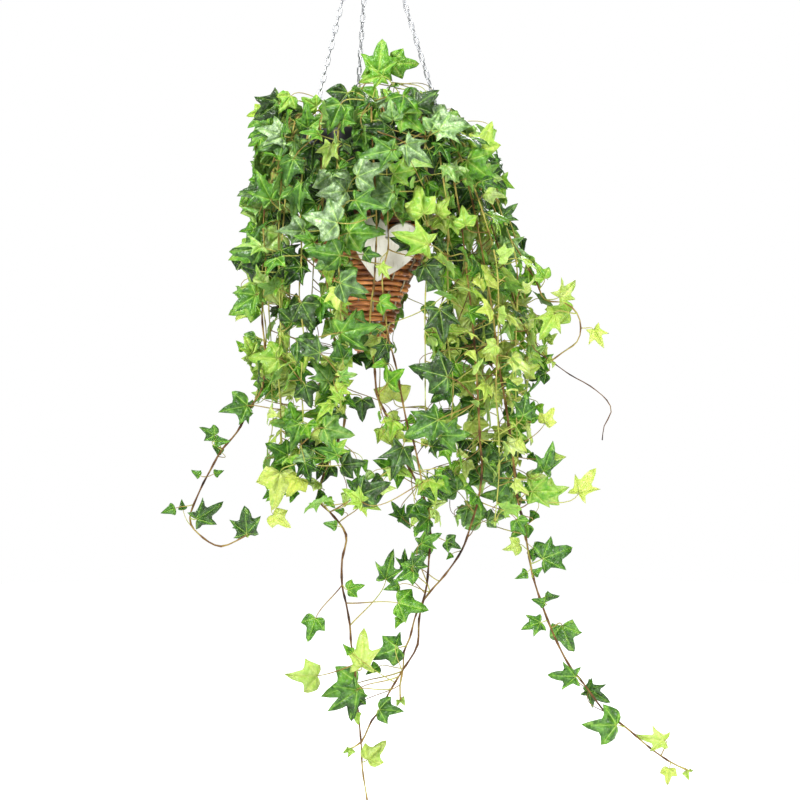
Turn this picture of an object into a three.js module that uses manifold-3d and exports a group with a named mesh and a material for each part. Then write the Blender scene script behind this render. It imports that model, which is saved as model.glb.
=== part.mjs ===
// A potted ivy in a hanging wicker cone, with three chain legs and a wire hook.
// Millimetres, +Z up. The front is -Y. The origin is the point of the hook that bears on what it hangs from.
import * as THREE from 'three';
import Module from 'manifold-3d';
import { mergeVertices } from 'three/addons/utils/BufferGeometryUtils.js';

const wasm = await Module();
wasm.setup();

// Driving dimensions
const touchGap = 0.3;
const roundSides = 20;
const hook = { bore: 17, wire: 2.2, eye: 8, eyeDrop: 62 };
const pot = { top: -444, height: 184, rim: 118, foot: 84, band: 20, lip: 3, wall: 2, drain: 4 };
const soil = { top: pot.top - 14, holeDepth: 24, holeRadius: 5.4 };
const rim = { height: -579.3, radius: 110, thick: 8.5, twist: 0.8 };
const chain = { pitch: 14.2, wide: 3.4, narrow: 1.1, clear: 4.4 };
const chainLoop = { atEye: 3.9, atRim: 10.8, lift: 0.8, wire: 1 };
const chainAzimuths = { chain_right: -15.9, chain_left: -136.4, chain_back: 103.2 };
const cone = { rows: 11, relief: 3, wall: 8, tip: -797 };
const plaque = { width: 102, height: 105, cleft: 18, thick: 5, turn: 12, lean: 26, top: -586, x: 34 };
const plaqueWire = { hole: 2.2, holeDrop: 12, radius: 0.9, lift: 0.9 };
const blade = { thick: 0.85, ballSpacing: 0.11, ballRadius: 0.078 };
const stemSize = { root: 2.3, tip: 1.5, keepOut: 2.6, footLong: 2.2, facing: 0.2, leastFit: 0.84 };

// The cone's outside, as [height, radius] from the rim down to the tip
const coneProfile = [
  [-587, 112], [-640, 88], [-676, 68], [-710, 52], [-741, 42], [-765, 33], [-784, 24], [cone.tip, 9],
];

// The front view that the foliage's outline and windows are given in: the eye's distance, x and height
const view = { distance: 2800, x: 48, z: -864 };
const foliageDepth = 215;

// The outline of the foliage from the front, as x and z
const foliageOutline = [
  [-173, -379], [-40, -384], [-29, -362], [106, -368], [163, -419], [202, -418], [219, -504], [227, -552],
  [243, -595], [285, -653], [307, -704], [298, -776], [280, -840], [285, -928], [291, -1024], [256, -1056],
  [160, -1059], [96, -1096], [40, -1056], [-16, -1037], [-104, -1040], [-173, -1032], [-173, -928],
  [-192, -840], [-211, -784], [-227, -712], [-208, -672], [-229, -632], [-214, -536], [-192, -416],
];

// Windows without leaves, as left, right, low and high in the front view, and whether only the front is open
const windows = [
  [-30, 78, -776, -589, true], [54, 88, -776, -653, false], [-112, -83, -704, -643, false],
  [-32, 21, -864, -813, false], [56, 112, -877, -840, false], [-48, 3, -928, -896, false],
];

// Leafy stems
const crown = { count: 12, turn: -1.5, tallStem: 10, tallRise: 92, tries: 40 };
const innerCrown = { root: 26, reach: 62, rise: 58 };
const outerCrown = { root: 58, reach: 96, rise: 60 };
const overRimArc = { start: -427, top: -416, radius: 147, end: -452 };
const curtainStep = 64;
const flareFall = 260;

// Each curtain stem: azimuth at the rim, drift, height of its end, and how far it flares outwards
const curtainStems = [
  [-54, -2, -930, 12], [-46, 0, -900, 34], [-32, 0, -1050, 85], [-10, -6, -960, 95], [4, 3, -900, 105],
  [17, 4, -1030, 80], [30, 3, -960, 60], [43, 2, -1000, 40], [57, 0, -640, 14], [71, 0, -690, 20],
  [84, 0, -620, 12], [94, 0, -660, 24], [112, 0, -640, 14], [126, 0, -700, 20], [140, 0, -860, 30],
  [154, 0, -980, 16], [168, 0, -900, 18], [182, 0, -820, 22], [207, 3, -1000, 14], [216, 0, -760, 20],
  [231, 0, -960, 16], [252, 2, -880, 6],
];

// Trailing stems that can be followed one by one, with their routes from the rim down
const trailingStems = {
  vine_left: {
    azimuth: 196,
    root: 92,
    route: [
      [-158, -52, -520], [-166, -58, -590], [-162, -62, -660], [-168, -60, -730], [-163, -60, -790],
      [-168, -60, -845], [-187, -60, -877], [-207, -60, -914], [-231, -60, -942], [-249, -60, -974],
      [-265, -60, -1005], [-281, -60, -1049], [-267, -60, -1074], [-232, -62, -1093], [-190, -64, -1074],
    ],
  },
  vine_middle_left: {
    azimuth: 240,
    root: 98,
    route: [
      [-72, -124, -520], [-70, -124, -580], [-68, -122, -640], [-62, -120, -700], [-54, -116, -760],
      [-45, -112, -820], [-37, -110, -895], [-47, -110, -925], [-55, -110, -944], [-72, -110, -987],
      [-78, -110, -1018], [-60, -110, -1036], [-35, -110, -1071], [-41, -110, -1110], [-41, -110, -1148],
      [-35, -110, -1176], [-29, -110, -1210], [-27, -108, -1241], [-21, -106, -1271], [-21, -104, -1310],
      [-17, -102, -1340], [-12, -100, -1394], [-10, -100, -1433], [-3, -100, -1479], [0, -100, -1506],
    ],
  },
  vine_centre: {
    azimuth: 272,
    root: 87,
    leafBelow: -850,
    route: [
      [9, -146, -520], [12, -143, -583], [12, -141, -621], [9, -140, -682], [5, -138, -712],
      [2, -136, -750], [5, -134, -780], [9, -132, -811], [13, -130, -856], [25, -130, -882],
      [40, -130, -922], [48, -130, -943], [63, -130, -970], [75, -130, -993], [91, -130, -1031],
      [94, -130, -1077], [92, -132, -1107], [89, -134, -1145], [83, -135, -1171], [77, -135, -1198],
      [75, -135, -1236], [63, -135, -1259], [51, -135, -1277], [30, -135, -1312], [19, -135, -1335],
      [5, -135, -1352], [-11, -135, -1385], [-31, -135, -1396],
    ],
  },
  vine_front: {
    azimuth: 280,
    root: 98,
    leafBelow: -850,
    route: [
      [28, -150, -520], [30, -150, -609], [30, -150, -636], [24, -150, -659], [21, -150, -685],
      [24, -150, -715], [27, -150, -745], [30, -150, -768], [37, -150, -794], [45, -151, -826],
      [50, -152, -856], [60, -153, -905], [68, -154, -925], [78, -155, -970], [81, -156, -989],
    ],
  },
  vine_joining: {
    azimuth: -39,
    root: 98,
    route: [
      [130, -100, -520], [142, -105, -590], [150, -108, -660], [158, -112, -730], [164, -112, -800],
      [168, -112, -865], [171, -110, -925], [174, -110, -972], [168, -110, -1018], [157, -110, -1056],
      [143, -110, -1095], [117, -110, -1133], [94, -110, -1159], [74, -110, -1190], [63, -110, -1230],
      [54, -110, -1251], [53, -110, -1276], [48, -110, -1302], [49, -110, -1328],
    ],
  },
  vine_right: {
    azimuth: -25,
    root: 92,
    route: [
      [152, -72, -520], [168, -78, -590], [180, -82, -660], [192, -84, -730], [200, -84, -800],
      [212, -82, -870], [222, -80, -940], [231, -80, -1019], [239, -80, -1050], [247, -80, -1097],
      [255, -80, -1139], [269, -80, -1183], [287, -80, -1229], [309, -80, -1273], [335, -80, -1307],
      [367, -80, -1349], [398, -80, -1372], [437, -80, -1405], [469, -80, -1427], [499, -80, -1441],
    ],
  },
  vine_right_bare: {
    azimuth: -3,
    root: 98,
    leafAbove: -780,
    bare: true,
    route: [
      [172, -16, -520], [194, -24, -590], [212, -32, -650], [229, -38, -710], [246, -40, -755],
      [261, -40, -785], [284, -40, -801], [316, -40, -824], [348, -40, -842], [374, -40, -864],
      [381, -40, -883], [370, -40, -905], [367, -40, -927],
    ],
  },
  vine_right_loop: {
    azimuth: 10,
    root: 87,
    leafAbove: -700,
    route: [
      [180, 2, -520], [210, -22, -585], [240, -48, -640], [262, -58, -680], [275, -60, -707],
      [306, -60, -712], [325, -60, -728], [331, -60, -751], [325, -60, -773], [302, -60, -790],
      [283, -62, -804],
    ],
  },
};

// Leaf sizes, their stalks' lengths, and how many leaves the stems carry
const leafSize = { young: 26, threeShare: 0.6, crownLow: 38, crownHigh: 60, curtainRoot: 50, curtainTip: 30 };
const stalkSize = { low: 18, high: 46, shortest: 13, longest: 95, leastAhead: 0.35, crownShare: 1.2 };
const leafLimit = 264;
const leafTurns = 3;
const leafRounds = 9;
const lowestLeaf = -1056;
const leafTries = 14;
const roomReach = 95;
const depthShifts = [0, -8, 8, -16, 16, -24, 24, -34, 34, -46, 46];
const turnShifts = [0, 18, -18, 36, -36];

// Leaves that show one by one in the front view: x, y, z of the middle, length, turn of the tip, and tone
// from 0, dark, to 1, lime, or -1 for a pale sheen
const seenLeaves = [
  [-210, -75, -877, 47, 192, 0.3], [-251, -75, -913, 28, 150, 0.3], [-227, -75, -927, 25, -15, 0.35],
  [-270, -75, -978, 18, 150, 0.4], [-238, -75, -978, 17, 20, 0.4], [-312, -70, -1036, 24, 200, 0.35],
  [-249, -78, -1039, 50, 10, 0.2], [-191, -78, -1052, 45, 92, 0.2], [-137, -80, -1052, 35, -40, 1],
  [-21, -120, -1151, 27, 20, 0.5], [-87, -120, -1214, 38, 250, 0.4], [-10, -120, -1245, 58, 90, 0.85],
  [25, -120, -1251, 48, 200, 0.35], [6, -118, -1279, 25, 210, 0.4], [-101, -115, -1288, 50, 180, 0.8],
  [-44, -112, -1312, 62, 200, 0.4], [-18, -112, -1353, 20, -80, 0.7], [33, -145, -1333, 38, 0, 0.3],
  [11, -108, -1405, 40, 45, 0.85], [66, -145, -1176, 50, -15, 0.45], [36, -145, -1148, 25, 200, 0.35],
  [30, -140, -1118, 46, 80, 0.35], [56, -142, -1128, 34, 210, 0.4], [94, -142, -1075, 36, 10, 0.4],
  [235, -95, -1061, 30, -60, 0.4], [222, -95, -1093, 28, 200, 0.85], [234, -95, -1132, 22, 210, 0.4],
  [260, -95, -1127, 18, 20, 0.4], [290, -95, -1101, 52, 20, 0.3], [262, -92, -1174, 22, 180, 0.35],
  [285, -92, -1171, 24, 0, 0.3], [252, -92, -1212, 32, 195, 0.4], [310, -92, -1240, 52, -35, 0.35],
  [300, -92, -1291, 44, 178, 0.35], [359, -92, -1366, 56, 178, 0.35],
  [438, -92, -1389, 44, 175, 0.85], [463, -92, -1446, 26, -100, 0.95], [336, -100, -991, 48, 60, 0.95],
  [310, -70, -692, 42, 40, 0.85], [267, -75, -663, 30, 120, 0.6], [277, -95, -748, 48, -120, 0.75],
  [297, -80, -724, 40, 170, 0.7], [358, -66, -767, 34, -80, 0.95], [280, -75, -889, 30, 60, 1],
  [277, -95, -954, 50, 70, 0.35], [273, -105, -1005, 48, 0, 0.6], [205, -116, -1006, 44, 200, 0.3],
  [183, -135, -786, 28, 190, 0.8], [240, -110, -872, 36, 80, 0.3], [93, -160, -822, 62, 165, 0.15],
  [112, -158, -750, 52, -80, 0.1], [96, -158, -678, 46, -60, 0.1], [83, -162, -906, 58, 190, 0.3],
  [131, -155, -918, 48, 0, 0.35], [66, -168, -624, 58, 165, 0.9], [78, -170, -564, 50, 105, 0.7],
  [-5, -165, -612, 56, 0, 0.45], [-65, -165, -645, 54, 175, 0.35], [-27, -160, -693, 58, -25, 0.35],
  [-15, -155, -759, 60, 8, 0.4], [30, -160, -721, 30, -20, 0.5], [25, -160, -672, 26, -60, 0.8],
  [25, -125, -792, 36, -70, 0.1], [9, -145, -783, 30, -100, 0.9], [36, -60, -840, 52, 95, 0.85],
  [-10, -120, -879, 38, -90, 0.15], [-90, -150, -736, 48, -60, 0.1], [-90, -150, -786, 46, -30, 0.2],
  [-140, -120, -1002, 62, -100, 0.95], [-190, -75, -632, 50, 190, 0.3], [-195, -70, -712, 48, 215, 0.4],
  [-179, -70, -538, 44, 180, 0.2], [-163, -80, -798, 52, 175, 0.65], [-188, -70, -779, 30, 110, 0.7],
  [17, -60, -331, 56, 83, 0.65], [56, -62, -336, 45, -17, 0.7], [4, -75, -366, 39, 190, 0.8],
  [87, -95, -402, 46, 35, 0.1], [122, -105, -437, 60, 0, -1], [181, -70, -454, 48, 70, 0.75],
  [171, -115, -514, 58, -40, 0.5], [-54, -168, -548, 60, -90, -1], [-69, -172, -596, 58, 185, -1],
  [-106, -150, -556, 48, -100, 0.35], [6, -170, -521, 54, 20, -1], [3, -172, -572, 52, -12, 0.3],
  [55, -168, -521, 40, 10, 0.6], [-120, -140, -518, 45, -110, 0.3], [-158, -75, -412, 52, 215, 0.1],
  [22, -165, -485, 48, 200, 0.4], [-62, -150, -494, 40, -110, 0.95], [-91, -80, -407, 30, 150, 0.8],
  [-130, -75, -405, 34, -90, 0.6], [-45, -95, -414, 48, -110, 0.15], [-6, -100, -413, 44, 200, 0.5],
  [32, -100, -413, 44, -90, -1], [112, -150, -570, 32, 60, 0.75], [130, -150, -600, 30, -60, 0.7],
  [145, -140, -585, 34, 100, 0.65], [-150, -95, -450, 46, 160, -1],
];

// Solids and meshes

function solidFrom(geometry) {
  const bare = geometry.index ? geometry.toNonIndexed() : geometry.clone();
  bare.deleteAttribute('normal');
  bare.deleteAttribute('uv');
  const merged = mergeVertices(bare, 1e-3);
  const corners = merged.index.array;
  const facing = (triVerts) => new wasm.Manifold(new wasm.Mesh({
    numProp: 3,
    vertProperties: merged.attributes.position.array,
    triVerts: new Uint32Array(triVerts),
  }));
  const made = facing(corners);
  return made.volume() > 0 ? made : facing([...corners].reverse());
}

function geometryFrom(solid) {
  const mesh = solid.getMesh();
  const geometry = new THREE.BufferGeometry();
  geometry.setAttribute('position', new THREE.BufferAttribute(mesh.vertProperties, 3));
  geometry.setIndex(new THREE.BufferAttribute(mesh.triVerts, 1));
  return geometry;
}

function union(solids) {
  return solids.length > 1 ? wasm.Manifold.union(solids) : solids[0];
}

const model = new THREE.Group();

function addNode(name, solid, finish) {
  const mesh = new THREE.Mesh(geometryFrom(solid), new THREE.MeshStandardMaterial(finish));
  mesh.name = name;
  model.add(mesh);
}

const finishes = {
  steel: { color: 0xc4c8cc, roughness: 0.3, metalness: 1 },
  twig: { color: 0x6a3b22, roughness: 0.75, metalness: 0 },
  wicker: { color: 0x96562c, roughness: 0.7, metalness: 0 },
  plaque: { color: 0xe3ded0, roughness: 0.8, metalness: 0 },
  plastic: { color: 0x17181a, roughness: 0.5, metalness: 0 },
  soil: { color: 0x2e2118, roughness: 0.95, metalness: 0 },
  leaf: { color: 0x3f7d2c, roughness: 0.4, metalness: 0 },
  bareStem: { color: 0x6b4a2c, roughness: 0.7, metalness: 0 },
};

// Turned shapes. The profile runs as [radius, height], from the axis or closed on itself.

function turned(profile, sides = roundSides) {
  const points = profile.map(([radius, height]) => new THREE.Vector2(radius, height));
  return new THREE.LatheGeometry(points, sides).rotateX(Math.PI / 2);
}

function ring(radius, wire, sides, wireSides = 3) {
  const section = [];
  for (let i = 0; i <= wireSides; i += 1) {
    const angle = (2 * Math.PI * (i % wireSides)) / wireSides;
    section.push([radius + wire * Math.cos(angle), wire * Math.sin(angle)]);
  }
  return turned(section, sides);
}

function onCircle(azimuth, radius, height) {
  const angle = THREE.MathUtils.degToRad(azimuth);
  return new THREE.Vector3(radius * Math.cos(angle), radius * Math.sin(angle), height);
}

// The corners of each ring of a tube along a list of points. halves(i) gives the half width and half depth.
function ringsAlong(points, sides, halves) {
  const turnAxis = new THREE.Vector3();
  let across = null;
  let before = null;
  return points.map((point, i) => {
    const ahead = points[Math.min(i + 1, points.length - 1)].clone().sub(point).normalize();
    const behind = point.clone().sub(points[Math.max(i - 1, 0)]).normalize();
    const along = ahead.add(behind).normalize();
    if (!across) {
      const helper = Math.abs(along.z) > 0.9 ? new THREE.Vector3(0, 1, 0) : new THREE.Vector3(0, 0, 1);
      across = helper.cross(along).normalize();
    } else {
      turnAxis.crossVectors(before, along);
      const angle = Math.asin(Math.min(1, turnAxis.length()));
      if (angle > 1e-6) across.applyAxisAngle(turnAxis.normalize(), angle);
      across.addScaledVector(along, -across.dot(along)).normalize();
    }
    before = along;
    const over = new THREE.Vector3().crossVectors(along, across);
    const [width, depth] = halves(i);
    const corners = [];
    for (let k = 0; k < sides; k += 1) {
      const angle = (2 * Math.PI * k) / sides;
      corners.push(point.clone()
        .addScaledVector(across, width * Math.cos(angle))
        .addScaledVector(over, depth * Math.sin(angle)));
    }
    return corners;
  });
}

function tube(points, sides, halves) {
  const index = [];
  for (let i = 0; i < points.length - 1; i += 1) {
    for (let k = 0; k < sides; k += 1) {
      const a = i * sides + k;
      const b = i * sides + ((k + 1) % sides);
      index.push(a, b, b + sides, a, b + sides, a + sides);
    }
  }
  const last = (points.length - 1) * sides;
  for (let k = 1; k < sides - 1; k += 1) {
    index.push(0, k + 1, k);
    index.push(last, last + k, last + k + 1);
  }
  const geometry = new THREE.BufferGeometry().setFromPoints(ringsAlong(points, sides, halves).flat());
  geometry.setIndex(index);
  return geometry;
}

function wire(points, radius, sides = 6) {
  return solidFrom(tube(points, sides, () => [radius, radius]));
}

// The hook: a round arc over the bearing point, a shank and a closed eye

function makeHook() {
  const bend = hook.bore + hook.wire;
  const path = [];
  for (let angle = -35; angle <= 180; angle += 21.5) {
    const turn = THREE.MathUtils.degToRad(angle);
    path.push(new THREE.Vector3(bend * Math.cos(turn), 0, bend * Math.sin(turn) - hook.bore));
  }
  path.push(new THREE.Vector3(-bend * 0.8, 0, -hook.bore - 12));
  path.push(new THREE.Vector3(0, 0, -hook.bore - 25));
  path.push(new THREE.Vector3(0, 0, hook.eye - hook.eyeDrop));
  const eye = ring(hook.eye, hook.wire, 10, 5).rotateX(Math.PI / 2).translate(0, 0, -hook.eyeDrop);
  return union([wire(path, hook.wire, 5), solidFrom(eye)]);
}

// A chain leg: a loop round the hook's eye, links that turn a quarter one by one, a loop round the rim

const eyeAngles = { chain_right: -55, chain_left: -125, chain_back: -90 };

function chainCorners(name) {
  const azimuth = chainAzimuths[name];
  const eyeTurn = THREE.MathUtils.degToRad(eyeAngles[name]);
  const start = hook.eye + chainLoop.atEye;
  const from = new THREE.Vector3(start * Math.cos(eyeTurn), 0, start * Math.sin(eyeTurn) - hook.eyeDrop);
  return [
    from,
    onCircle(azimuth, pot.rim + chain.clear, pot.top + 6),
    onCircle(azimuth, pot.rim + chain.clear, pot.top - 12),
    onCircle(azimuth, rim.radius + chainLoop.atRim, rim.height + 3),
  ];
}

function chainRoute(name) {
  const corners = chainCorners(name);
  const route = new THREE.CurvePath();
  for (let i = 1; i < corners.length; i += 1) route.add(new THREE.LineCurve3(corners[i - 1], corners[i]));
  return route;
}

function makeChain(name) {
  const route = chainRoute(name);
  const links = Math.round(route.getLength() / chain.pitch);
  const points = [];
  for (let i = 0; i <= links; i += 1) points.push(route.getPointAt(i / links));
  const flat = (i) => (i % 2 ? [chain.wide, chain.narrow] : [chain.narrow, chain.wide]);
  const eyeTurn = THREE.MathUtils.degToRad(eyeAngles[name]);
  const eyeLoop = ring(chainLoop.atEye, chainLoop.wire, 6)
    .rotateY(-eyeTurn)
    .translate(hook.eye * Math.cos(eyeTurn), 0, hook.eye * Math.sin(eyeTurn) - hook.eyeDrop);
  const rimLoop = ring(chainLoop.atRim, chainLoop.wire, 8)
    .rotateX(Math.PI / 2)
    .rotateZ(THREE.MathUtils.degToRad(chainAzimuths[name]))
    .translate(...onCircle(chainAzimuths[name], rim.radius, rim.height + chainLoop.lift));
  return union([solidFrom(tube(points, 4, flat)), solidFrom(eyeLoop), solidFrom(rimLoop)]);
}

// The wicker: a rim of twisted twigs, and a woven cone in rows

function coneRadius(height) {
  const lower = coneProfile.findIndex(([z]) => z <= height);
  if (lower <= 0) return lower === 0 ? coneProfile[0][1] : 0;
  const [z0, r0] = coneProfile[lower - 1];
  const [z1, r1] = coneProfile[lower];
  return r0 + ((r1 - r0) * (height - z0)) / (z1 - z0);
}

function makeRim() {
  const geometry = ring(rim.radius, rim.thick, roundSides, 6);
  const position = geometry.attributes.position;
  for (let i = 0; i < position.count; i += 1) {
    const azimuth = Math.atan2(position.getY(i), position.getX(i));
    const swell = 1 - (rim.twist / rim.thick) * (0.5 + 0.5 * Math.sin(9 * azimuth));
    position.setZ(i, position.getZ(i) * swell);
  }
  return solidFrom(geometry.translate(0, 0, rim.height));
}

function makeCone() {
  const top = coneProfile[0][0];
  const rowHeight = (top - cone.tip) / cone.rows;
  const inside = (height) => [Math.max(1, coneRadius(height) - cone.wall), height];
  const profile = [[0, cone.tip + cone.wall], inside(-770), inside(-710), inside(-660)];
  profile.push([pot.foot + touchGap, pot.top - pot.height], [coneProfile[0][1] - cone.wall, top]);
  for (let row = 0; row < cone.rows; row += 1) {
    const groove = top - row * rowHeight;
    const crest = groove - rowHeight / 2;
    profile.push([coneRadius(groove) - (row ? cone.relief : 1), groove], [coneRadius(crest), crest]);
  }
  profile.push([0, cone.tip]);
  let woven = solidFrom(turned(profile));
  const notch = new THREE.BoxGeometry(20, 6, 8);
  for (const azimuth of Object.values(chainAzimuths)) {
    const cut = notch.clone().rotateZ(THREE.MathUtils.degToRad(azimuth));
    woven = woven.subtract(solidFrom(cut.translate(...onCircle(azimuth, rim.radius - 2, top))));
  }
  return woven;
}

// The plaque: a heart that leans on the cone, hooked over the rim by a wire

// From the plaque's own plane, x across and y up from its top, to its place on the cone
function onPlaque(geometry) {
  return geometry
    .rotateZ(-THREE.MathUtils.degToRad(plaque.turn))
    .rotateX(Math.PI / 2 + THREE.MathUtils.degToRad(plaque.lean))
    .translate(plaque.x, -rim.radius - rim.thick - 3 * touchGap, plaque.top);
}

function makePlaque() {
  const half = plaque.width / 2;
  const tall = plaque.height;
  const heart = new THREE.Shape();
  heart.moveTo(0, -tall);
  heart.bezierCurveTo(half * 0.5, -tall * 0.78, half, -tall * 0.58, half, -tall * 0.32);
  heart.bezierCurveTo(half, tall * 0.02, half * 0.3, tall * 0.1, 0, -plaque.cleft);
  heart.bezierCurveTo(-half * 0.3, tall * 0.1, -half, tall * 0.02, -half, -tall * 0.32);
  heart.bezierCurveTo(-half, -tall * 0.58, -half * 0.5, -tall * 0.78, 0, -tall);
  const hole = new THREE.Path();
  hole.absarc(0, -plaque.cleft - plaqueWire.holeDrop, plaqueWire.hole, 0, 2 * Math.PI, true);
  heart.holes.push(hole);
  return solidFrom(onPlaque(new THREE.ExtrudeGeometry(heart, {
    depth: plaque.thick,
    bevelEnabled: false,
    curveSegments: 6,
  })));
}

// The wire runs through the top of the plaque's hole, up its front and over the rim
function makePlaqueWire() {
  const holeAt = (depth) => {
    const point = new THREE.BufferGeometry().setFromPoints([
      new THREE.Vector3(0, plaqueWire.lift - plaque.cleft - plaqueWire.holeDrop, depth),
    ]);
    return new THREE.Vector3().fromBufferAttribute(onPlaque(point).attributes.position, 0);
  };
  const behind = holeAt(-3);
  const front = holeAt(plaque.thick + 2.5);
  const outer = -Math.sqrt((rim.radius + rim.thick) ** 2 - behind.x ** 2);
  const inner = -Math.sqrt((rim.radius - rim.thick) ** 2 - behind.x ** 2);
  const over = rim.height + rim.thick * Math.cos(Math.PI / 6) + touchGap + plaqueWire.radius;
  return wire([
    behind,
    front,
    new THREE.Vector3(front.x, outer - 9, rim.height - 14),
    new THREE.Vector3(front.x, outer - 8, rim.height),
    new THREE.Vector3(front.x, outer - 1, over),
    new THREE.Vector3(front.x, inner - 1, over),
    new THREE.Vector3(front.x, inner + 3, rim.height),
    new THREE.Vector3(front.x, inner + 3, rim.height - 6),
  ], plaqueWire.radius, 4);
}

// The nursery pot and its soil

function potRadius(height) {
  return pot.foot + ((pot.rim - pot.lip - pot.foot) * (height - pot.top + pot.height)) / pot.height;
}

function makePot() {
  const foot = pot.top - pot.height;
  const band = pot.top - pot.band;
  const profile = [
    [0, foot], [pot.foot, foot], [potRadius(band), band], [pot.rim, band], [pot.rim, pot.top],
    [pot.rim - pot.wall, pot.top], [pot.rim - pot.wall, band + pot.wall],
    [potRadius(band) - pot.wall, band + pot.wall], [pot.foot - pot.wall, foot + pot.wall],
    [0, foot + pot.wall],
  ];
  let body = solidFrom(turned(profile));
  for (let i = 0; i < 4; i += 1) {
    const drain = new THREE.CylinderGeometry(pot.drain, pot.drain, pot.wall * 3, 5).rotateX(Math.PI / 2);
    body = body.subtract(solidFrom(drain.translate(...onCircle(45 + 90 * i, pot.foot * 0.6, foot))));
  }
  return body;
}

function makeSoil(roots) {
  const foot = pot.top - pot.height + pot.wall + touchGap;
  const ledge = pot.top - pot.band + pot.wall;
  const clear = pot.wall + 1.5 * touchGap;
  const ball = solidFrom(turned([
    [0, foot], [pot.foot - clear, foot], [potRadius(ledge - pot.wall) - clear, ledge + touchGap],
    [pot.rim - clear, ledge + touchGap], [pot.rim - clear, soil.top - 1], [0, soil.top],
  ]));
  const drill = new THREE.CylinderGeometry(soil.holeRadius, soil.holeRadius, soil.holeDepth * 2, 3);
  drill.rotateX(Math.PI / 2);
  const holes = roots.map((root) => solidFrom(drill.clone().translate(root.x, root.y, soil.top)));
  return ball.subtract(union(holes));
}

// Stems

// The minimal standard generator, so that every run draws the same numbers
let drawState = 4711;
function draw(low, high) {
  drawState = (drawState * 16807) % 2147483647;
  return low + ((high - low) * drawState) / 2147483647;
}

const stems = [];

// A stem stands straight in its hole in the soil, then follows the points given
function addStem(name, azimuth, rootRadius, points, options = {}) {
  const rooted = [
    onCircle(azimuth, rootRadius, soil.top - soil.holeDepth + touchGap),
    onCircle(azimuth, rootRadius, soil.top + 8),
  ];
  const stem = { name, points: [...rooted, ...points], leaves: [], ...options };
  const last = stem.points.length - 1;
  const radius = (i) => stemSize.root + ((stemSize.tip - stemSize.root) * i) / last;
  stem.rings = ringsAlong(stem.points, 3, (i) => [radius(i), radius(i)]);
  stem.feet = stem.points.map((point, ring) => (ring < 3 ? [] : feetAt(stem.rings, ring)));
  stems.push(stem);
}

function facingOf([a, b, c]) {
  return b.clone().sub(a).cross(c.clone().sub(a)).normalize();
}

// Where stalks can leave a ring: a small triangle on each side of the stem above it and below it, and the
// stem's end. The corners run anticlockwise as seen from outside.
function feetAt(rings, ring) {
  const feet = [];
  for (const step of [1, -1]) {
    if (!rings[ring + step]) continue;
    for (let side = 0; side < 3; side += 1) {
      const near = rings[ring][side];
      const next = rings[ring][(side + 1) % 3];
      const far = rings[ring + step][side];
      const share = stemSize.footLong / near.distanceTo(far);
      const notch = near.clone().lerp(far, share);
      const corners = step > 0 ? [near, next, notch] : [next, near, notch];
      const beyond = (rings[ring - step] ?? rings[ring + step])[side];
      const behind = rings[ring - step] ? (step > 0 ? [next, near, beyond] : [near, next, beyond]) : corners;
      feet.push({ ring, step, side, share, corners, normals: [facingOf(corners), facingOf(behind)] });
    }
  }
  if (!rings[ring + 1]) {
    feet.push({ ring, step: 0, side: 0, corners: rings[ring], normals: [facingOf(rings[ring])] });
  }
  for (const foot of feet) {
    foot.middle = new THREE.Vector3();
    for (const corner of foot.corners) foot.middle.addScaledVector(corner, 1 / 3);
  }
  return feet;
}

function addCrownStems() {
  const arc = [[0.1, 0.5], [0.32, 0.85], [0.64, 1], [1, 0.86]];
  for (let i = 0; i < crown.count; i += 1) {
    const azimuth = crown.turn + (360 / crown.count) * i + draw(-4, 4);
    const size = i % 2 ? outerCrown : innerCrown;
    const reach = size.reach * draw(0.85, 1.15);
    const rise = i === crown.tallStem ? crown.tallRise : size.rise * draw(0.9, 1.1);
    const points = arc.map(([out, up]) => {
      const turn = azimuth + draw(-5, 5);
      return onCircle(turn, size.root + reach * out, soil.top + rise * up);
    });
    addStem(`crown_stem_${i + 1}`, azimuth, size.root, points, { crown: true });
  }
}

// Over the pot's rim to where the curtain starts
function overRim(azimuth, root) {
  return [
    onCircle(azimuth, root + 10, overRimArc.start),
    onCircle(azimuth, pot.rim + 4, overRimArc.top),
    onCircle(azimuth, pot.rim + 20, overRimArc.top - 10),
    onCircle(azimuth, overRimArc.radius, overRimArc.end),
  ];
}

function addCurtainStems() {
  curtainStems.forEach(([azimuth, drift, end, flare], i) => {
    const root = i % 2 ? 98 : 87;
    const points = overRim(azimuth, root);
    const steps = Math.round((overRimArc.end - end) / curtainStep);
    for (let k = 1; k <= steps; k += 1) {
      const fallen = Math.min(1, (k * curtainStep) / flareFall);
      const turn = azimuth + drift * fallen + draw(-1.6, 1.6);
      const radius = overRimArc.radius + flare * fallen * (2 - fallen) + draw(-4, 4);
      points.push(onCircle(turn, radius, overRimArc.end - ((overRimArc.end - end) * k) / steps));
    }
    addStem(`curtain_stem_${i + 1}`, azimuth, root, points);
  });
}

function addTrailingStems() {
  for (const [name, { azimuth, root, route, ...options }] of Object.entries(trailingStems)) {
    const points = overRim(azimuth, root);
    for (const [x, y, z] of route) points.push(new THREE.Vector3(x, y, z));
    addStem(name, azimuth, root, points, options);
  }
}

// Room. What is filled already is kept as small balls, and nothing new comes nearer than the two radii.

const filled = [];

function fillAlong(from, to, radius, spacing, stem) {
  const steps = Math.max(1, Math.round(from.distanceTo(to) / spacing));
  for (let k = 0; k <= steps; k += 1) filled.push({ at: from.clone().lerp(to, k / steps), radius, stem });
}

function isClear(balls, ownStem) {
  const middle = balls[0].at;
  const near = filled.filter(({ at, stem }) => stem !== ownStem
    && Math.abs(at.x - middle.x) < roomReach
    && Math.abs(at.y - middle.y) < roomReach
    && Math.abs(at.z - middle.z) < roomReach);
  return balls.every((ball) => near.every(({ at, radius }) => {
    const apart = ball.radius + radius;
    return ball.at.distanceToSquared(at) >= apart * apart;
  }));
}

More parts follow.
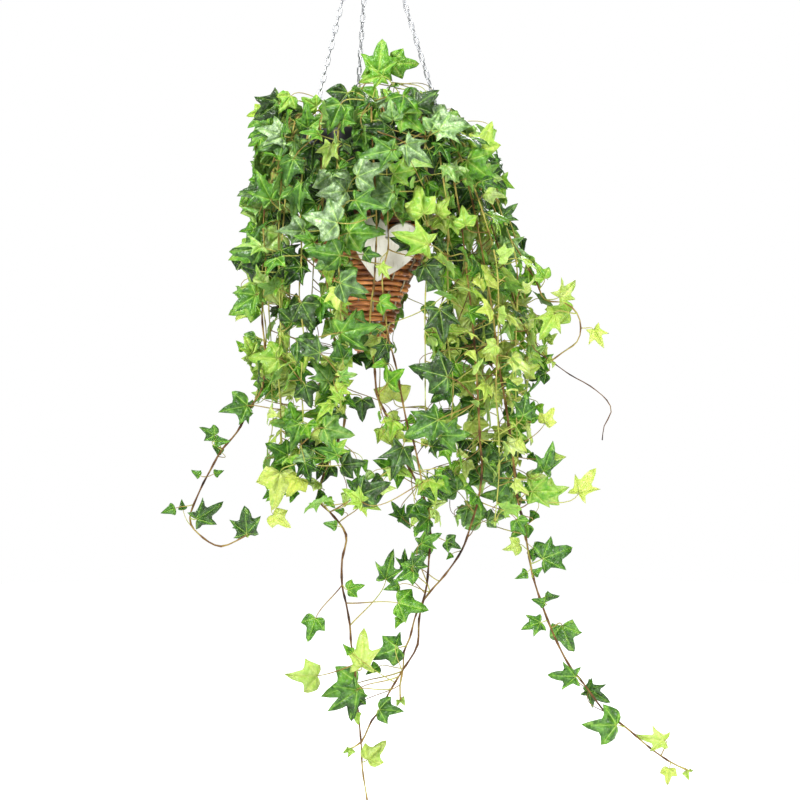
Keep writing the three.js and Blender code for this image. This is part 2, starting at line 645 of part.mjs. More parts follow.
function fillHolder() {
  for (const name of Object.keys(chainAzimuths)) {
    const corners = chainCorners(name);
    for (let i = 1; i < corners.length; i += 1) fillAlong(corners[i - 1], corners[i], 5, 5, name);
  }
  const [low, high] = [plaque.top - plaque.height * 0.9, plaque.top];
  for (let z = low; z <= high; z += 12) {
    const lean = (high - z) * Math.tan(THREE.MathUtils.degToRad(plaque.lean));
    const half = (plaque.width / 2) * ((z - low) / (high - low));
    const y = lean - rim.radius - rim.thick - plaque.thick;
    const shift = plaque.x - (high - z) * Math.sin(THREE.MathUtils.degToRad(plaque.turn));
    fillAlong(new THREE.Vector3(shift - half, y, z), new THREE.Vector3(shift + half, y, z), 8, 12, 'plaque');
  }
}

// How far from the axis the holder reaches at a height
function holderRadius(height) {
  if (height > soil.top + 6) return height > pot.top + 8 ? 0 : pot.rim + 6;
  if (height > coneProfile[0][0]) return rim.radius + rim.thick + 6;
  return height > cone.tip - 10 ? coneRadius(Math.max(height, cone.tip)) + 8 : 0;
}

// Where a point shows in the front view, as x and z on the plane through the axis
function seenFromFront(point) {
  const scale = view.distance / (view.distance + point.y);
  return [view.x + (point.x - view.x) * scale, view.z + (point.z - view.z) * scale];
}

function isInside(x, z, outline) {
  let inside = false;
  outline.forEach(([x1, z1], i) => {
    const [x0, z0] = outline[(i + outline.length - 1) % outline.length];
    if (z1 > z !== z0 > z && x < x1 + ((x0 - x1) * (z - z1)) / (z0 - z1)) inside = !inside;
  });
  return inside;
}

// The foliage keeps the outline that it shows from the front, with its open windows
function isInFoliage(point) {
  if (Math.hypot(point.x, point.y) < holderRadius(point.z)) return false;
  if (Math.abs(point.y) > foliageDepth) return false;
  const [x, z] = seenFromFront(point);
  const inWindow = ([left, right, low, high, frontOnly]) => x > left && x < right && z > low && z < high
    && (!frontOnly || point.y < 0);
  return isInside(x, z, foliageOutline) && !windows.some(inWindow);
}

// Leaves

// The right half of each outline, from the stalk to the tip, for a leaf of length 1
const outlines = {
  five: [[0.018, 0], [0.44, -0.12], [0.4, 0.16], [0.56, 0.52], [0.2, 0.5], [0, 1]],
  three: [[0.018, 0], [0.34, -0.09], [0.54, 0.36], [0.19, 0.46], [0, 1]],
  young: [[0.035, 0], [0.4, 0.14], [0, 1]],
};

function wholeOutline(form) {
  const left = outlines[form].slice(0, -1).map(([x, y]) => [-x, y]).reverse();
  return [...outlines[form], ...left];
}

// Where balls stand on a leaf of length 1, to find its room: its middle first, its corners, then a grid
const ballPlaces = {};
for (const form of Object.keys(outlines)) {
  const outline = wholeOutline(form);
  ballPlaces[form] = [[0, 0.45], ...outline.map(([x, y]) => [x * 0.97, y * 0.97])];
  for (let y = -0.1; y < 1; y += blade.ballSpacing) {
    for (let x = -5 * blade.ballSpacing; x < 0.6; x += blade.ballSpacing) {
      if (isInside(x, y, outline)) ballPlaces[form].push([x, y]);
    }
  }
}

function bladePoint(leaf, x, y) {
  const lift = leaf.cup * Math.abs(x) - leaf.droop * y * y;
  return leaf.base.clone()
    .addScaledVector(leaf.side, x * leaf.length)
    .addScaledVector(leaf.tip, y * leaf.length)
    .addScaledVector(leaf.face, lift * leaf.length);
}

function bladeBalls(leaf) {
  const radius = Math.max(blade.ballRadius * leaf.length, 1.5);
  return ballPlaces[leaf.form].map(([x, y]) => ({ at: bladePoint(leaf, x, y), radius }));
}

function stalkBalls(leaf) {
  const balls = [];
  const start = leaf.foot.middle;
  const length = start.distanceTo(leaf.base);
  for (let along = 8; along < length - 4; along += 5) {
    balls.push({ at: start.clone().lerp(leaf.base, along / length), radius: stemSize.keepOut });
  }
  return balls;
}

function makeLeaf(base, tip, face, length, tone) {
  const leaf = { base, length, tone };
  leaf.tip = tip.clone().normalize();
  leaf.face = face.clone().addScaledVector(leaf.tip, -face.dot(leaf.tip)).normalize();
  leaf.side = new THREE.Vector3().crossVectors(leaf.tip, leaf.face);
  leaf.form = length < leafSize.young ? 'young' : 'five';
  return leaf;
}

// How a stalk's three rails start: from which corner of the foot, so that they twist least on their way to
// the blade, and how well they fit, with 1 for no twist
function stalkTurn(leaf, foot, away) {
  const across = leaf.side.clone().addScaledVector(away, -leaf.side.dot(away)).normalize();
  const over = new THREE.Vector3().crossVectors(across, away);
  const wanted = [[-0.87, -0.5], [0.87, -0.5], [0, 1]];
  let best = null;
  for (const first of [0, 1, 2]) {
    let [match, size] = [0, 0];
    wanted.forEach(([x, z], i) => {
      const way = foot.corners[(3 + first - i) % 3].clone().sub(foot.middle);
      const [u, v] = [way.dot(across), way.dot(over)];
      match += x * u + z * v;
      size += u * u + v * v;
    });
    const fit = match / Math.sqrt(3 * size);
    if (!best || fit > best.fit) best = { first, fit };
  }
  return best;
}

// The free foot at a ring that faces the leaf best, if its stalk parts from the other stalks there
function findFoot(stem, ring, leaf) {
  const others = stem.leaves.filter(({ foot }) => foot.ring === ring);
  let best = null;
  for (const foot of stem.feet[ring]) {
    const away = leaf.base.clone().sub(foot.middle).normalize();
    const facing = Math.min(...foot.normals.map((normal) => normal.dot(away)));
    const { first, fit } = stalkTurn(leaf, foot, away);
    if (facing < stemSize.facing || fit < stemSize.leastFit || (best && facing * fit < best.score)) continue;
    const isCrowded = others.some((other) => other.foot === foot
      || foot.middle.clone().sub(other.foot.middle).dot(away.clone().sub(other.away)) < 0);
    if (!isCrowded) best = { score: facing * fit, foot, away, first };
  }
  return best;
}

// The leaf goes in if its blade and stalk have room, and their balls then count as filled
function settle(leaf, stem, { foot, away, first }) {
  Object.assign(leaf, { foot, away, first });
  const blades = bladeBalls(leaf);
  const stalk = stalkBalls(leaf);
  if (!isClear([...blades, ...stalk.slice(2)], null)) return false;
  if (stalk.length && !isClear(stalk.slice(0, 2), stem.name)) return false;
  for (const ball of [...blades, ...stalk]) filled.push({ ...ball, stem: 'leaf' });
  stem.leaves.push(leaf);
  return true;
}

// The nearest place on a stem that a leaf's stalk can come from without folding back
function findJoint(leaf) {
  let best = null;
  for (const stem of stems) {
    for (let ring = 3; ring < stem.points.length; ring += 1) {
      const way = leaf.base.clone().sub(stem.points[ring]);
      const length = way.length();
      const ahead = way.dot(leaf.tip) / length;
      const cost = length * (1.6 - ahead);
      if (length > stalkSize.longest || length < stalkSize.shortest) continue;
      if (ahead < stalkSize.leastAhead || (best && cost > best.cost)) continue;
      const joint = findFoot(stem, ring, leaf);
      if (joint) best = { cost, stem, joint };
    }
  }
  return best;
}

// A leaf seen in the front view: the place of its middle, its length, and where its tip points,
// in degrees from straight right, anticlockwise
function placeSeenLeaf([x, y, z, length, turn, tone]) {
  const lean = draw(-0.35, 0.25);
  const roll = draw(-0.5, 0.5);
  const [cup, droop, three] = [draw(-0.12, 0.2), draw(0, 0.22), draw(0, 1)];
  for (const turnShift of turnShifts) {
    const angle = THREE.MathUtils.degToRad(turn + turnShift);
    const tip = new THREE.Vector3(Math.cos(angle), lean, Math.sin(angle));
    const face = new THREE.Vector3(roll * Math.sin(angle), -1, -roll * Math.cos(angle));
    for (const shift of depthShifts) {
      const leaf = makeLeaf(new THREE.Vector3(), tip, face, length, tone);
      leaf.base.set(x, y + shift, z).addScaledVector(leaf.tip, -0.45 * length);
      Object.assign(leaf, { cup, droop });
      if (three < leafSize.threeShare && leaf.form === 'five') leaf.form = 'three';
      const found = findJoint(leaf);
      if (found && settle(leaf, found.stem, found.joint)) return true;
    }
  }
  return false;
}

// A leaf by rule, on a ring of a stem
function growLeaf(stem, ring, leansLeft) {
  const point = stem.points[ring];
  const spread = Math.hypot(point.x, point.y) || 1;
  const out = new THREE.Vector3(point.x / spread, point.y / spread, 0);
  const side = new THREE.Vector3(-out.y, out.x, 0).multiplyScalar(leansLeft ? 1 : -1);
  const mix = (outward, sideways, upward) => new THREE.Vector3(0, 0, upward)
    .addScaledVector(out, outward)
    .addScaledVector(side, sideways);
  const along = ring / stem.points.length;
  for (let attempt = 0; attempt < (stem.crown ? crown.tries : leafTries); attempt += 1) {
    const away = stem.crown
      ? mix(draw(-0.2, 0.9), draw(-0.9, 0.9), draw(-0.3, 0.7))
      : mix(draw(0.1, 1), draw(-0.4, 1.1), draw(-0.4, 0.6));
    const tip = stem.crown
      ? mix(draw(0.1, 1), draw(-0.9, 0.9), draw(-0.7, 0.3))
      : mix(draw(-0.1, 0.5), draw(-0.5, 1), draw(-1.1, 0.2));
    tip.addScaledVector(away.normalize(), 0.6);
    const face = stem.crown
      ? mix(draw(0.5, 1), draw(-0.5, 0.5), draw(0.3, 1))
      : mix(1, draw(-0.6, 0.6), draw(-0.1, 0.7));
    const grown = stem.crown ? draw(leafSize.crownLow, leafSize.crownHigh) : draw(0.8, 1.15)
      * (leafSize.curtainRoot + (leafSize.curtainTip - leafSize.curtainRoot) * along);
    const reach = draw(stalkSize.low, stalkSize.high) * (stem.crown ? stalkSize.crownShare : 1);
    const [cup, droop, three, tone] = [draw(-0.12, 0.2), draw(0, 0.22), draw(0, 1), draw(0, 1)];
    const leaf = makeLeaf(point.clone().addScaledVector(away, reach), tip, face, grown, tone);
    Object.assign(leaf, { cup, droop });
    if (three < leafSize.threeShare && leaf.form === 'five') leaf.form = 'three';
    if (away.dot(leaf.tip) < stalkSize.leastAhead) continue;
    if (![0, 0.5, 1].every((y) => isInFoliage(bladePoint(leaf, 0, y)))) continue;
    if (!isInFoliage(bladePoint(leaf, 0.5, 0.45)) || !isInFoliage(bladePoint(leaf, -0.5, 0.45))) continue;
    const joint = findFoot(stem, ring, leaf);
    if (joint && settle(leaf, stem, joint)) return true;
  }
  return false;
}

// The blade is flat, bent by a rule and thickened straight down. Its triangles run alike on both faces.
function addBlade(leaf, points, index) {
  const outline = wholeOutline(leaf.form);
  const count = outline.length;
  const first = points.length;
  const top = outline.map(([x, y]) => bladePoint(leaf, x, y));
  points.push(...top, ...top.map((point) => point.clone().addScaledVector(leaf.face, -blade.thick)));
  const faces = THREE.ShapeUtils.triangulateShape(outline.map(([x, y]) => new THREE.Vector2(x, y)), []);
  for (const face of faces) {
    const [a, b, c] = face.map((corner) => first + corner);
    index.push(a, b, c, count + a, count + c, count + b);
  }
  for (let a = first; a < first + count - 1; a += 1) {
    index.push(count + a, count + a + 1, a + 1, count + a, a + 1, a);
  }
  const last = first + count - 1;
  return { topRight: first, topLeft: last, lowRight: first + count, lowLeft: last + count };
}

// The stalk joins the foot's three corners to the blade's four
function addStalk(leaf, footCorners, { topRight, topLeft, lowRight, lowLeft }, index) {
  const [p0, p1, p2] = [0, 1, 2].map((i) => footCorners[(3 + leaf.first - i) % 3]);
  index.push(lowLeft, lowRight, p1, lowLeft, p1, p0);
  index.push(lowRight, topRight, p2, lowRight, p2, p1);
  index.push(topLeft, lowLeft, p0, topLeft, p0, p2);
  index.push(topRight, topLeft, p2);
}

// One side of a stem between two rings, as a strip from the left rail to the right rail
function addStrip(left, right, index) {
  let [i, k] = [0, 0];
  while (i < left.length - 1 || k < right.length - 1) {
    const [nextLeft, nextRight] = [left[i + 1], right[k + 1]];
    const goesRight = !nextLeft || (nextRight && nextRight.share <= nextLeft.share);
    index.push(left[i].corner, right[k].corner, (goesRight ? nextRight : nextLeft).corner);
    if (goesRight) k += 1;
    else i += 1;
  }
}

// A stem with its leaves, as one closed mesh
function makeStem(stem) {
  const points = stem.rings.flat();
  const index = [0, 2, 1];
  const used = new Map();
  for (const leaf of stem.leaves) {
    const { ring, step, side, corners } = leaf.foot;
    const onRing = [3 * ring + side, 3 * ring + ((side + 1) % 3)];
    if (step) {
      const notch = points.push(corners[2]) - 1;
      const share = step > 0 ? leaf.foot.share : 1 - leaf.foot.share;
      used.set(`${ring} ${step} ${side}`, { corner: notch, share });
      leaf.footCorners = step > 0 ? [...onRing, notch] : [onRing[1], onRing[0], notch];
    } else {
      leaf.footCorners = [3 * ring, 3 * ring + 1, 3 * ring + 2];
    }
  }
  const rail = (ring, side, isLeft) => {
    const [low, high] = [used.get(`${ring} 1 ${side}`), used.get(`${ring + 1} -1 ${side}`)];
    const start = { corner: 3 * ring + side, share: 0 };
    const end = { corner: 3 * ring + 3 + side, share: 1 };
    return [isLeft && low ? null : start, low, high, isLeft && high ? null : end].filter(Boolean);
  };
  const last = stem.rings.length - 1;
  for (let ring = 0; ring < last; ring += 1) {
    for (let side = 0; side < 3; side += 1) {
      addStrip(rail(ring, side, true), rail(ring, (side + 1) % 3, false), index);
    }
  }
  if (!stem.leaves.some(({ foot }) => foot.step === 0)) index.push(3 * last, 3 * last + 1, 3 * last + 2);
  for (const leaf of stem.leaves) addStalk(leaf, leaf.footCorners, addBlade(leaf, points, index), index);
  const geometry = new THREE.BufferGeometry().setFromPoints(points);
  geometry.setIndex(index);
  return solidFrom(geometry);
}

function growFoliage() {
  addCrownStems();
  addCurtainStems();
  addTrailingStems();
  fillHolder();
  for (const stem of stems) {
    for (let i = 2; i < stem.points.length; i += 1) {
      fillAlong(stem.points[i - 1], stem.points[i], stemSize.keepOut, 5, stem.name);
    }
  }
  for (const leaf of seenLeaves) placeSeenLeaf(leaf);
  for (let round = 0; round < leafRounds; round += 1) {
    for (const stem of stems) {
      for (let ring = 3; ring < stem.points.length; ring += 1) {
        const { z } = stem.points[ring];
        const isLeafy = z < (stem.leafBelow ?? 0) && z > (stem.leafAbove ?? lowestLeaf);
        const isTurn = stem.crown || (ring + round) % leafTurns === 0;
        if (isLeafy && isTurn && leafCount() < leafLimit) growLeaf(stem, ring, (ring + round) % 2 === 0);
      }
    }
  }
}

function leafCount() {
  return stems.reduce((sum, stem) => sum + stem.leaves.length, 0);
}

growFoliage();
const leafyStems = stems.filter(({ leaves }) => leaves.length > 0);

addNode('hook', makeHook(), finishes.steel);
for (const name of Object.keys(chainAzimuths)) addNode(name, makeChain(name), finishes.steel);
addNode('basket_rim', makeRim(), finishes.twig);
addNode('basket_cone', makeCone(), finishes.wicker);
addNode('heart_plaque', makePlaque(), finishes.plaque);
addNode('plaque_wire', makePlaqueWire(), finishes.steel);
addNode('grow_pot', makePot(), finishes.plastic);
addNode('soil', makeSoil(leafyStems.map((stem) => stem.points[0])), finishes.soil);
for (const stem of leafyStems) addNode(stem.name, makeStem(stem), stem.bare ? finishes.bareStem : finishes.leaf);

export default model;
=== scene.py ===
"""A potted ivy in a hanging wicker cone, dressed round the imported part.

Metres, +Z up, the front is -Y. The sizes below are the part's own, in millimetres, and each leaf of the part
is grown again by the same rule, so that the fine leaf stands where the plain one is.
"""

import random
from math import asin, atan2, cos, floor, hypot, pi, radians, sin, sqrt, tan
from types import SimpleNamespace

import bpy
import numpy as np
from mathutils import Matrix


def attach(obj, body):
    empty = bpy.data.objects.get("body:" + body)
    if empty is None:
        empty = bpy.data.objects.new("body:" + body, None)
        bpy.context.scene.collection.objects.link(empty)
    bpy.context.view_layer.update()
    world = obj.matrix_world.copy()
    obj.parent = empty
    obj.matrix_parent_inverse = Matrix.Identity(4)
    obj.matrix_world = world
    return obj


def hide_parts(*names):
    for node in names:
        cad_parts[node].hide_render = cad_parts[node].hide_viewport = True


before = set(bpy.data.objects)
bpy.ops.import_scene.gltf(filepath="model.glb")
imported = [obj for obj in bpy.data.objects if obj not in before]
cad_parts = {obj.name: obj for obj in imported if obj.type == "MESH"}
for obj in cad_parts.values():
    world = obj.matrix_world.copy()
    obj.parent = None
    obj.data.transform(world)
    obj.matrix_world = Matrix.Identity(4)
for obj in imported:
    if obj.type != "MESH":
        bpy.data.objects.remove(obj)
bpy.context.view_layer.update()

MM = 0.001

# Sizes of the holder, as in the part
HOOK = SimpleNamespace(bore=17, wire=2.2, eye=8, eye_drop=62)
POT = SimpleNamespace(top=-444, height=184, rim=118, foot=84, band=20, lip=3, wall=2)
SOIL_TOP = POT.top - 14
HOLE_DEPTH = 24
TOUCH_GAP = 0.3
RIM = SimpleNamespace(height=-579.3, radius=110, thick=8.5)
CHAIN = SimpleNamespace(pitch=14.2, wide=3.4, clear=4.4)
CHAIN_LOOP = SimpleNamespace(at_eye=3.9, at_rim=10.8, lift=0.8, wire=1)
CHAINS = {"chain_right": (-15.9, -55), "chain_left": (-136.4, -125), "chain_back": (103.2, -90)}
CONE_PROFILE = [
    (-587, 112), (-640, 88), (-676, 68), (-710, 52), (-741, 42), (-765, 33), (-784, 24), (-797, 9),
]
CONE_TOP, CONE_TIP = CONE_PROFILE[0][0], CONE_PROFILE[-1][0]
PLAQUE = SimpleNamespace(width=102, height=105, cleft=18, thick=5, turn=12, lean=26, top=-586, x=34)
PLAQUE_WIRE = SimpleNamespace(hole=2.2, drop=12, radius=0.9, lift=0.9)

# Sizes of the plant, as in the part
VIEW = SimpleNamespace(distance=2800, x=48, z=-864)
FOLIAGE_DEPTH = 215
FOLIAGE_OUTLINE = [
    (-173, -379), (-40, -384), (-29, -362), (106, -368), (163, -419), (202, -418), (219, -504), (227, -552),
    (243, -595), (285, -653), (307, -704), (298, -776), (280, -840), (285, -928), (291, -1024), (256, -1056),
    (160, -1059), (96, -1096), (40, -1056), (-16, -1037), (-104, -1040), (-173, -1032), (-173, -928),
    (-192, -840), (-211, -784), (-227, -712), (-208, -672), (-229, -632), (-214, -536), (-192, -416),
]
WINDOWS = [
    (-30, 78, -776, -589, True), (54, 88, -776, -653, False), (-112, -83, -704, -643, False),
    (-32, 21, -864, -813, False), (56, 112, -877, -840, False), (-48, 3, -928, -896, False),
]
BALL_SPACING = 0.11
BALL_RADIUS = 0.078
STEM = SimpleNamespace(root=2.3, tip=1.5, keep_out=2.6, foot_long=2.2, facing=0.2, least_fit=0.84)
CROWN = SimpleNamespace(count=12, turn=-1.5, tall_stem=10, tall_rise=92, tries=40)
INNER_CROWN = SimpleNamespace(root=26, reach=62, rise=58)
OUTER_CROWN = SimpleNamespace(root=58, reach=96, rise=60)
OVER_RIM = SimpleNamespace(start=-427, top=-416, radius=147, end=-452)
CURTAIN_STEP = 64
FLARE_FALL = 260
CURTAIN_STEMS = [
    (-54, -2, -930, 12), (-46, 0, -900, 34), (-32, 0, -1050, 85), (-10, -6, -960, 95), (4, 3, -900, 105),
    (17, 4, -1030, 80), (30, 3, -960, 60), (43, 2, -1000, 40), (57, 0, -640, 14), (71, 0, -690, 20),
    (84, 0, -620, 12), (94, 0, -660, 24), (112, 0, -640, 14), (126, 0, -700, 20), (140, 0, -860, 30),
    (154, 0, -980, 16), (168, 0, -900, 18), (182, 0, -820, 22), (207, 3, -1000, 14), (216, 0, -760, 20),
    (231, 0, -960, 16), (252, 2, -880, 6),
]
# Azimuth and distance of the foot from the axis, where leaves start or end, and the route below the rim
TRAILING_STEMS = {
    "vine_left": (196, 92, {}, [
        (-158, -52, -520), (-166, -58, -590), (-162, -62, -660), (-168, -60, -730), (-163, -60, -790),
        (-168, -60, -845), (-187, -60, -877), (-207, -60, -914), (-231, -60, -942), (-249, -60, -974),
        (-265, -60, -1005), (-281, -60, -1049), (-267, -60, -1074), (-232, -62, -1093), (-190, -64, -1074),
    ]),
    "vine_middle_left": (240, 98, {}, [
        (-72, -124, -520), (-70, -124, -580), (-68, -122, -640), (-62, -120, -700), (-54, -116, -760),
        (-45, -112, -820), (-37, -110, -895), (-47, -110, -925), (-55, -110, -944), (-72, -110, -987),
        (-78, -110, -1018), (-60, -110, -1036), (-35, -110, -1071), (-41, -110, -1110), (-41, -110, -1148),
        (-35, -110, -1176), (-29, -110, -1210), (-27, -108, -1241), (-21, -106, -1271), (-21, -104, -1310),
        (-17, -102, -1340), (-12, -100, -1394), (-10, -100, -1433), (-3, -100, -1479), (0, -100, -1506),
    ]),
    "vine_centre": (272, 87, {"leaf_below": -850}, [
        (9, -146, -520), (12, -143, -583), (12, -141, -621), (9, -140, -682), (5, -138, -712),
        (2, -136, -750), (5, -134, -780), (9, -132, -811), (13, -130, -856), (25, -130, -882),
        (40, -130, -922), (48, -130, -943), (63, -130, -970), (75, -130, -993), (91, -130, -1031),
        (94, -130, -1077), (92, -132, -1107), (89, -134, -1145), (83, -135, -1171), (77, -135, -1198),
        (75, -135, -1236), (63, -135, -1259), (51, -135, -1277), (30, -135, -1312), (19, -135, -1335),
        (5, -135, -1352), (-11, -135, -1385), (-31, -135, -1396),
    ]),
    "vine_front": (280, 98, {"leaf_below": -850}, [
        (28, -150, -520), (30, -150, -609), (30, -150, -636), (24, -150, -659), (21, -150, -685),
        (24, -150, -715), (27, -150, -745), (30, -150, -768), (37, -150, -794), (45, -151, -826),
        (50, -152, -856), (60, -153, -905), (68, -154, -925), (78, -155, -970), (81, -156, -989),
    ]),
    "vine_joining": (-39, 98, {}, [
        (130, -100, -520), (142, -105, -590), (150, -108, -660), (158, -112, -730), (164, -112, -800),
        (168, -112, -865), (171, -110, -925), (174, -110, -972), (168, -110, -1018), (157, -110, -1056),
        (143, -110, -1095), (117, -110, -1133), (94, -110, -1159), (74, -110, -1190), (63, -110, -1230),
        (54, -110, -1251), (53, -110, -1276), (48, -110, -1302), (49, -110, -1328),
    ]),
    "vine_right": (-25, 92, {}, [
        (152, -72, -520), (168, -78, -590), (180, -82, -660), (192, -84, -730), (200, -84, -800),
        (212, -82, -870), (222, -80, -940), (231, -80, -1019), (239, -80, -1050), (247, -80, -1097),
        (255, -80, -1139), (269, -80, -1183), (287, -80, -1229), (309, -80, -1273), (335, -80, -1307),
        (367, -80, -1349), (398, -80, -1372), (437, -80, -1405), (469, -80, -1427), (499, -80, -1441),
    ]),
    "vine_right_bare": (-3, 98, {"leaf_above": -780, "bare": True}, [
        (172, -16, -520), (194, -24, -590), (212, -32, -650), (229, -38, -710), (246, -40, -755),
        (261, -40, -785), (284, -40, -801), (316, -40, -824), (348, -40, -842), (374, -40, -864),
        (381, -40, -883), (370, -40, -905), (367, -40, -927),
    ]),
    "vine_right_loop": (10, 87, {"leaf_above": -700}, [
        (180, 2, -520), (210, -22, -585), (240, -48, -640), (262, -58, -680), (275, -60, -707),
        (306, -60, -712), (325, -60, -728), (331, -60, -751), (325, -60, -773), (302, -60, -790),
        (283, -62, -804),
    ]),
}
LEAF_SIZE = SimpleNamespace(young=26, three_share=0.6, crown_low=38, crown_high=60, root=50, tip=30)
STALK = SimpleNamespace(low=18, high=46, shortest=13, longest=95, least_ahead=0.35, crown_share=1.2)
LEAF_LIMIT = 264
LEAF_TURNS = 3
LEAF_ROUNDS = 9
LOWEST_LEAF = -1056
ANY_HEIGHT = -9999
LEAF_TRIES = 14
ROOM_REACH = 95
DEPTH_SHIFTS = [0, -8, 8, -16, 16, -24, 24, -34, 34, -46, 46]
TURN_SHIFTS = [0, 18, -18, 36, -36]

# Leaves that show one by one from the front: x, y, z of the middle, length, turn of the tip, and tone from 0,
# dark, to 100, lime, or -100 for a leaf whitened by a painted highlight
SEEN_LEAVES = [
    (-210, -75, -877, 47, 192, 30), (-251, -75, -913, 28, 150, 30), (-227, -75, -927, 25, -15, 35),
    (-270, -75, -978, 18, 150, 40), (-238, -75, -978, 17, 20, 40), (-312, -70, -1036, 24, 200, 35),
    (-249, -78, -1039, 50, 10, 20), (-191, -78, -1052, 45, 92, 20), (-137, -80, -1052, 35, -40, 100),
    (-21, -120, -1151, 27, 20, 50), (-87, -120, -1214, 38, 250, 40), (-10, -120, -1245, 58, 90, 85),
    (25, -120, -1251, 48, 200, 35), (6, -118, -1279, 25, 210, 40), (-101, -115, -1288, 50, 180, 80),
    (-44, -112, -1312, 62, 200, 40), (-18, -112, -1353, 20, -80, 70), (33, -145, -1333, 38, 0, 30),
    (11, -108, -1405, 40, 45, 85), (66, -145, -1176, 50, -15, 45), (36, -145, -1148, 25, 200, 35),
    (30, -140, -1118, 46, 80, 35), (56, -142, -1128, 34, 210, 40), (94, -142, -1075, 36, 10, 40),
    (235, -95, -1061, 30, -60, 40), (222, -95, -1093, 28, 200, 85), (234, -95, -1132, 22, 210, 40),
    (260, -95, -1127, 18, 20, 40), (290, -95, -1101, 52, 20, 30), (262, -92, -1174, 22, 180, 35),
    (285, -92, -1171, 24, 0, 30), (252, -92, -1212, 32, 195, 40), (310, -92, -1240, 52, -35, 35),
    (300, -92, -1291, 44, 178, 35), (359, -92, -1366, 56, 178, 35), (438, -92, -1389, 44, 175, 85),
    (463, -92, -1446, 26, -100, 95), (336, -100, -991, 48, 60, 95), (310, -70, -692, 42, 40, 85),
    (267, -75, -663, 30, 120, 60), (277, -95, -748, 48, -120, 75), (297, -80, -724, 40, 170, 70),
    (358, -66, -767, 34, -80, 95), (280, -75, -889, 30, 60, 100), (277, -95, -954, 50, 70, 35),
    (273, -105, -1005, 48, 0, 60), (205, -116, -1006, 44, 200, 30), (183, -135, -786, 28, 190, 80),
    (240, -110, -872, 36, 80, 30), (93, -160, -822, 62, 165, 15), (112, -158, -750, 52, -80, 10),
    (96, -158, -678, 46, -60, 10), (83, -162, -906, 58, 190, 30), (131, -155, -918, 48, 0, 35),
    (66, -168, -624, 58, 165, 68), (78, -170, -564, 50, 105, 70), (-5, -165, -612, 56, 0, 45),
    (-65, -165, -645, 54, 175, 35), (-27, -160, -693, 58, -25, 35), (-15, -155, -759, 60, 8, 40),
    (30, -160, -721, 30, -20, 50), (25, -160, -672, 26, -60, 80), (25, -125, -792, 36, -70, 10),
    (9, -145, -783, 30, -100, 90), (36, -60, -840, 52, 95, 100), (-10, -120, -879, 38, -90, 15),
    (-90, -150, -736, 48, -60, 10), (-90, -150, -786, 46, -30, 20), (-140, -120, -1002, 62, -100, 95),
    (-190, -75, -632, 50, 190, 30), (-195, -70, -712, 48, 215, 40), (-179, -70, -538, 44, 180, 20),
    (-163, -80, -798, 52, 175, 65), (-188, -70, -779, 30, 110, 70), (17, -60, -331, 56, 83, 50),
    (56, -62, -336, 45, -17, 52), (4, -75, -366, 39, 190, 60), (87, -95, -402, 46, 35, 10),
    (122, -105, -437, 60, 0, -100), (181, -70, -454, 48, 70, 75), (171, -115, -514, 58, -40, 50),
    (-54, -168, -548, 60, -90, -100), (-69, -172, -596, 58, 185, -100), (-106, -150, -556, 48, -100, 35),
    (6, -170, -521, 54, 20, -100), (3, -172, -572, 52, -12, 30), (55, -168, -521, 40, 10, 60),
    (-120, -140, -518, 45, -110, 30), (-158, -75, -412, 52, 215, 10), (22, -165, -485, 48, 200, 40),
    (-62, -150, -494, 40, -110, 78), (-91, -80, -407, 30, 150, 60), (-130, -75, -405, 34, -90, 60),
    (-45, -95, -414, 48, -110, 15), (-6, -100, -413, 44, 200, 50), (32, -100, -413, 44, -90, -100),
    (112, -150, -570, 32, 60, 75), (130, -150, -600, 30, -60, 70), (145, -140, -585, 34, 100, 65),
    (-150, -95, -450, 46, 160, -100),
]

# Vectors as plain triples, in double precision


def add(a, b, share=1.0):
    return (a[0] + b[0] * share, a[1] + b[1] * share, a[2] + b[2] * share)


def sub(a, b):
    return (a[0] - b[0], a[1] - b[1], a[2] - b[2])


def scaled(a, share):
    return (a[0] * share, a[1] * share, a[2] * share)


def dot(a, b):
    return a[0] * b[0] + a[1] * b[1] + a[2] * b[2]


def cross(a, b):
    return (a[1] * b[2] - a[2] * b[1], a[2] * b[0] - a[0] * b[2], a[0] * b[1] - a[1] * b[0])


def norm(a):
    return sqrt(dot(a, a))


def unit(a):
    return scaled(a, 1 / (norm(a) or 1))


def lerp(a, b, share):
    return (a[0] + (b[0] - a[0]) * share, a[1] + (b[1] - a[1]) * share, a[2] + (b[2] - a[2]) * share)


def rotated(a, axis, angle):
    turn = add(scaled(a, cos(angle)), cross(axis, a), sin(angle))
    return add(turn, axis, dot(axis, a) * (1 - cos(angle)))


def on_circle(azimuth, radius, height):
    angle = radians(azimuth)
    return (radius * cos(angle), radius * sin(angle), height)


def rounded(number):
    return floor(number + 0.5)


def clamp(number):
    return min(1, max(0, number))


def rings_along(points, sides, half):
    """The corners of each ring of a tube along a list of points."""
    rings = []
    across = before = None
    last = len(points) - 1
    for i, point in enumerate(points):
        ahead = unit(sub(points[min(i + 1, last)], point))
        behind = unit(sub(point, points[max(i - 1, 0)]))
        along = unit(add(ahead, behind))
        if across is None:
            helper = (0, 1, 0) if abs(along[2]) > 0.9 else (0, 0, 1)
            across = unit(cross(helper, along))
        else:
            turn_axis = cross(before, along)
            angle = asin(min(1, norm(turn_axis)))
            if angle > 1e-6:
                across = rotated(across, unit(turn_axis), angle)
            across = unit(add(across, along, -dot(across, along)))
        before = along
        rings.append(circle_path(half(i), sides, point, across, cross(along, across)))
    return rings


def circle_path(radius, count, place, out, up=(0, 0, 1)):
    """Points on a circle about a place, in the plane of two directions."""
    path = []
    for i in range(count):
        angle = 2 * pi * i / count
        path.append(add(add(place, out, radius * cos(angle)), up, radius * sin(angle)))
    return path


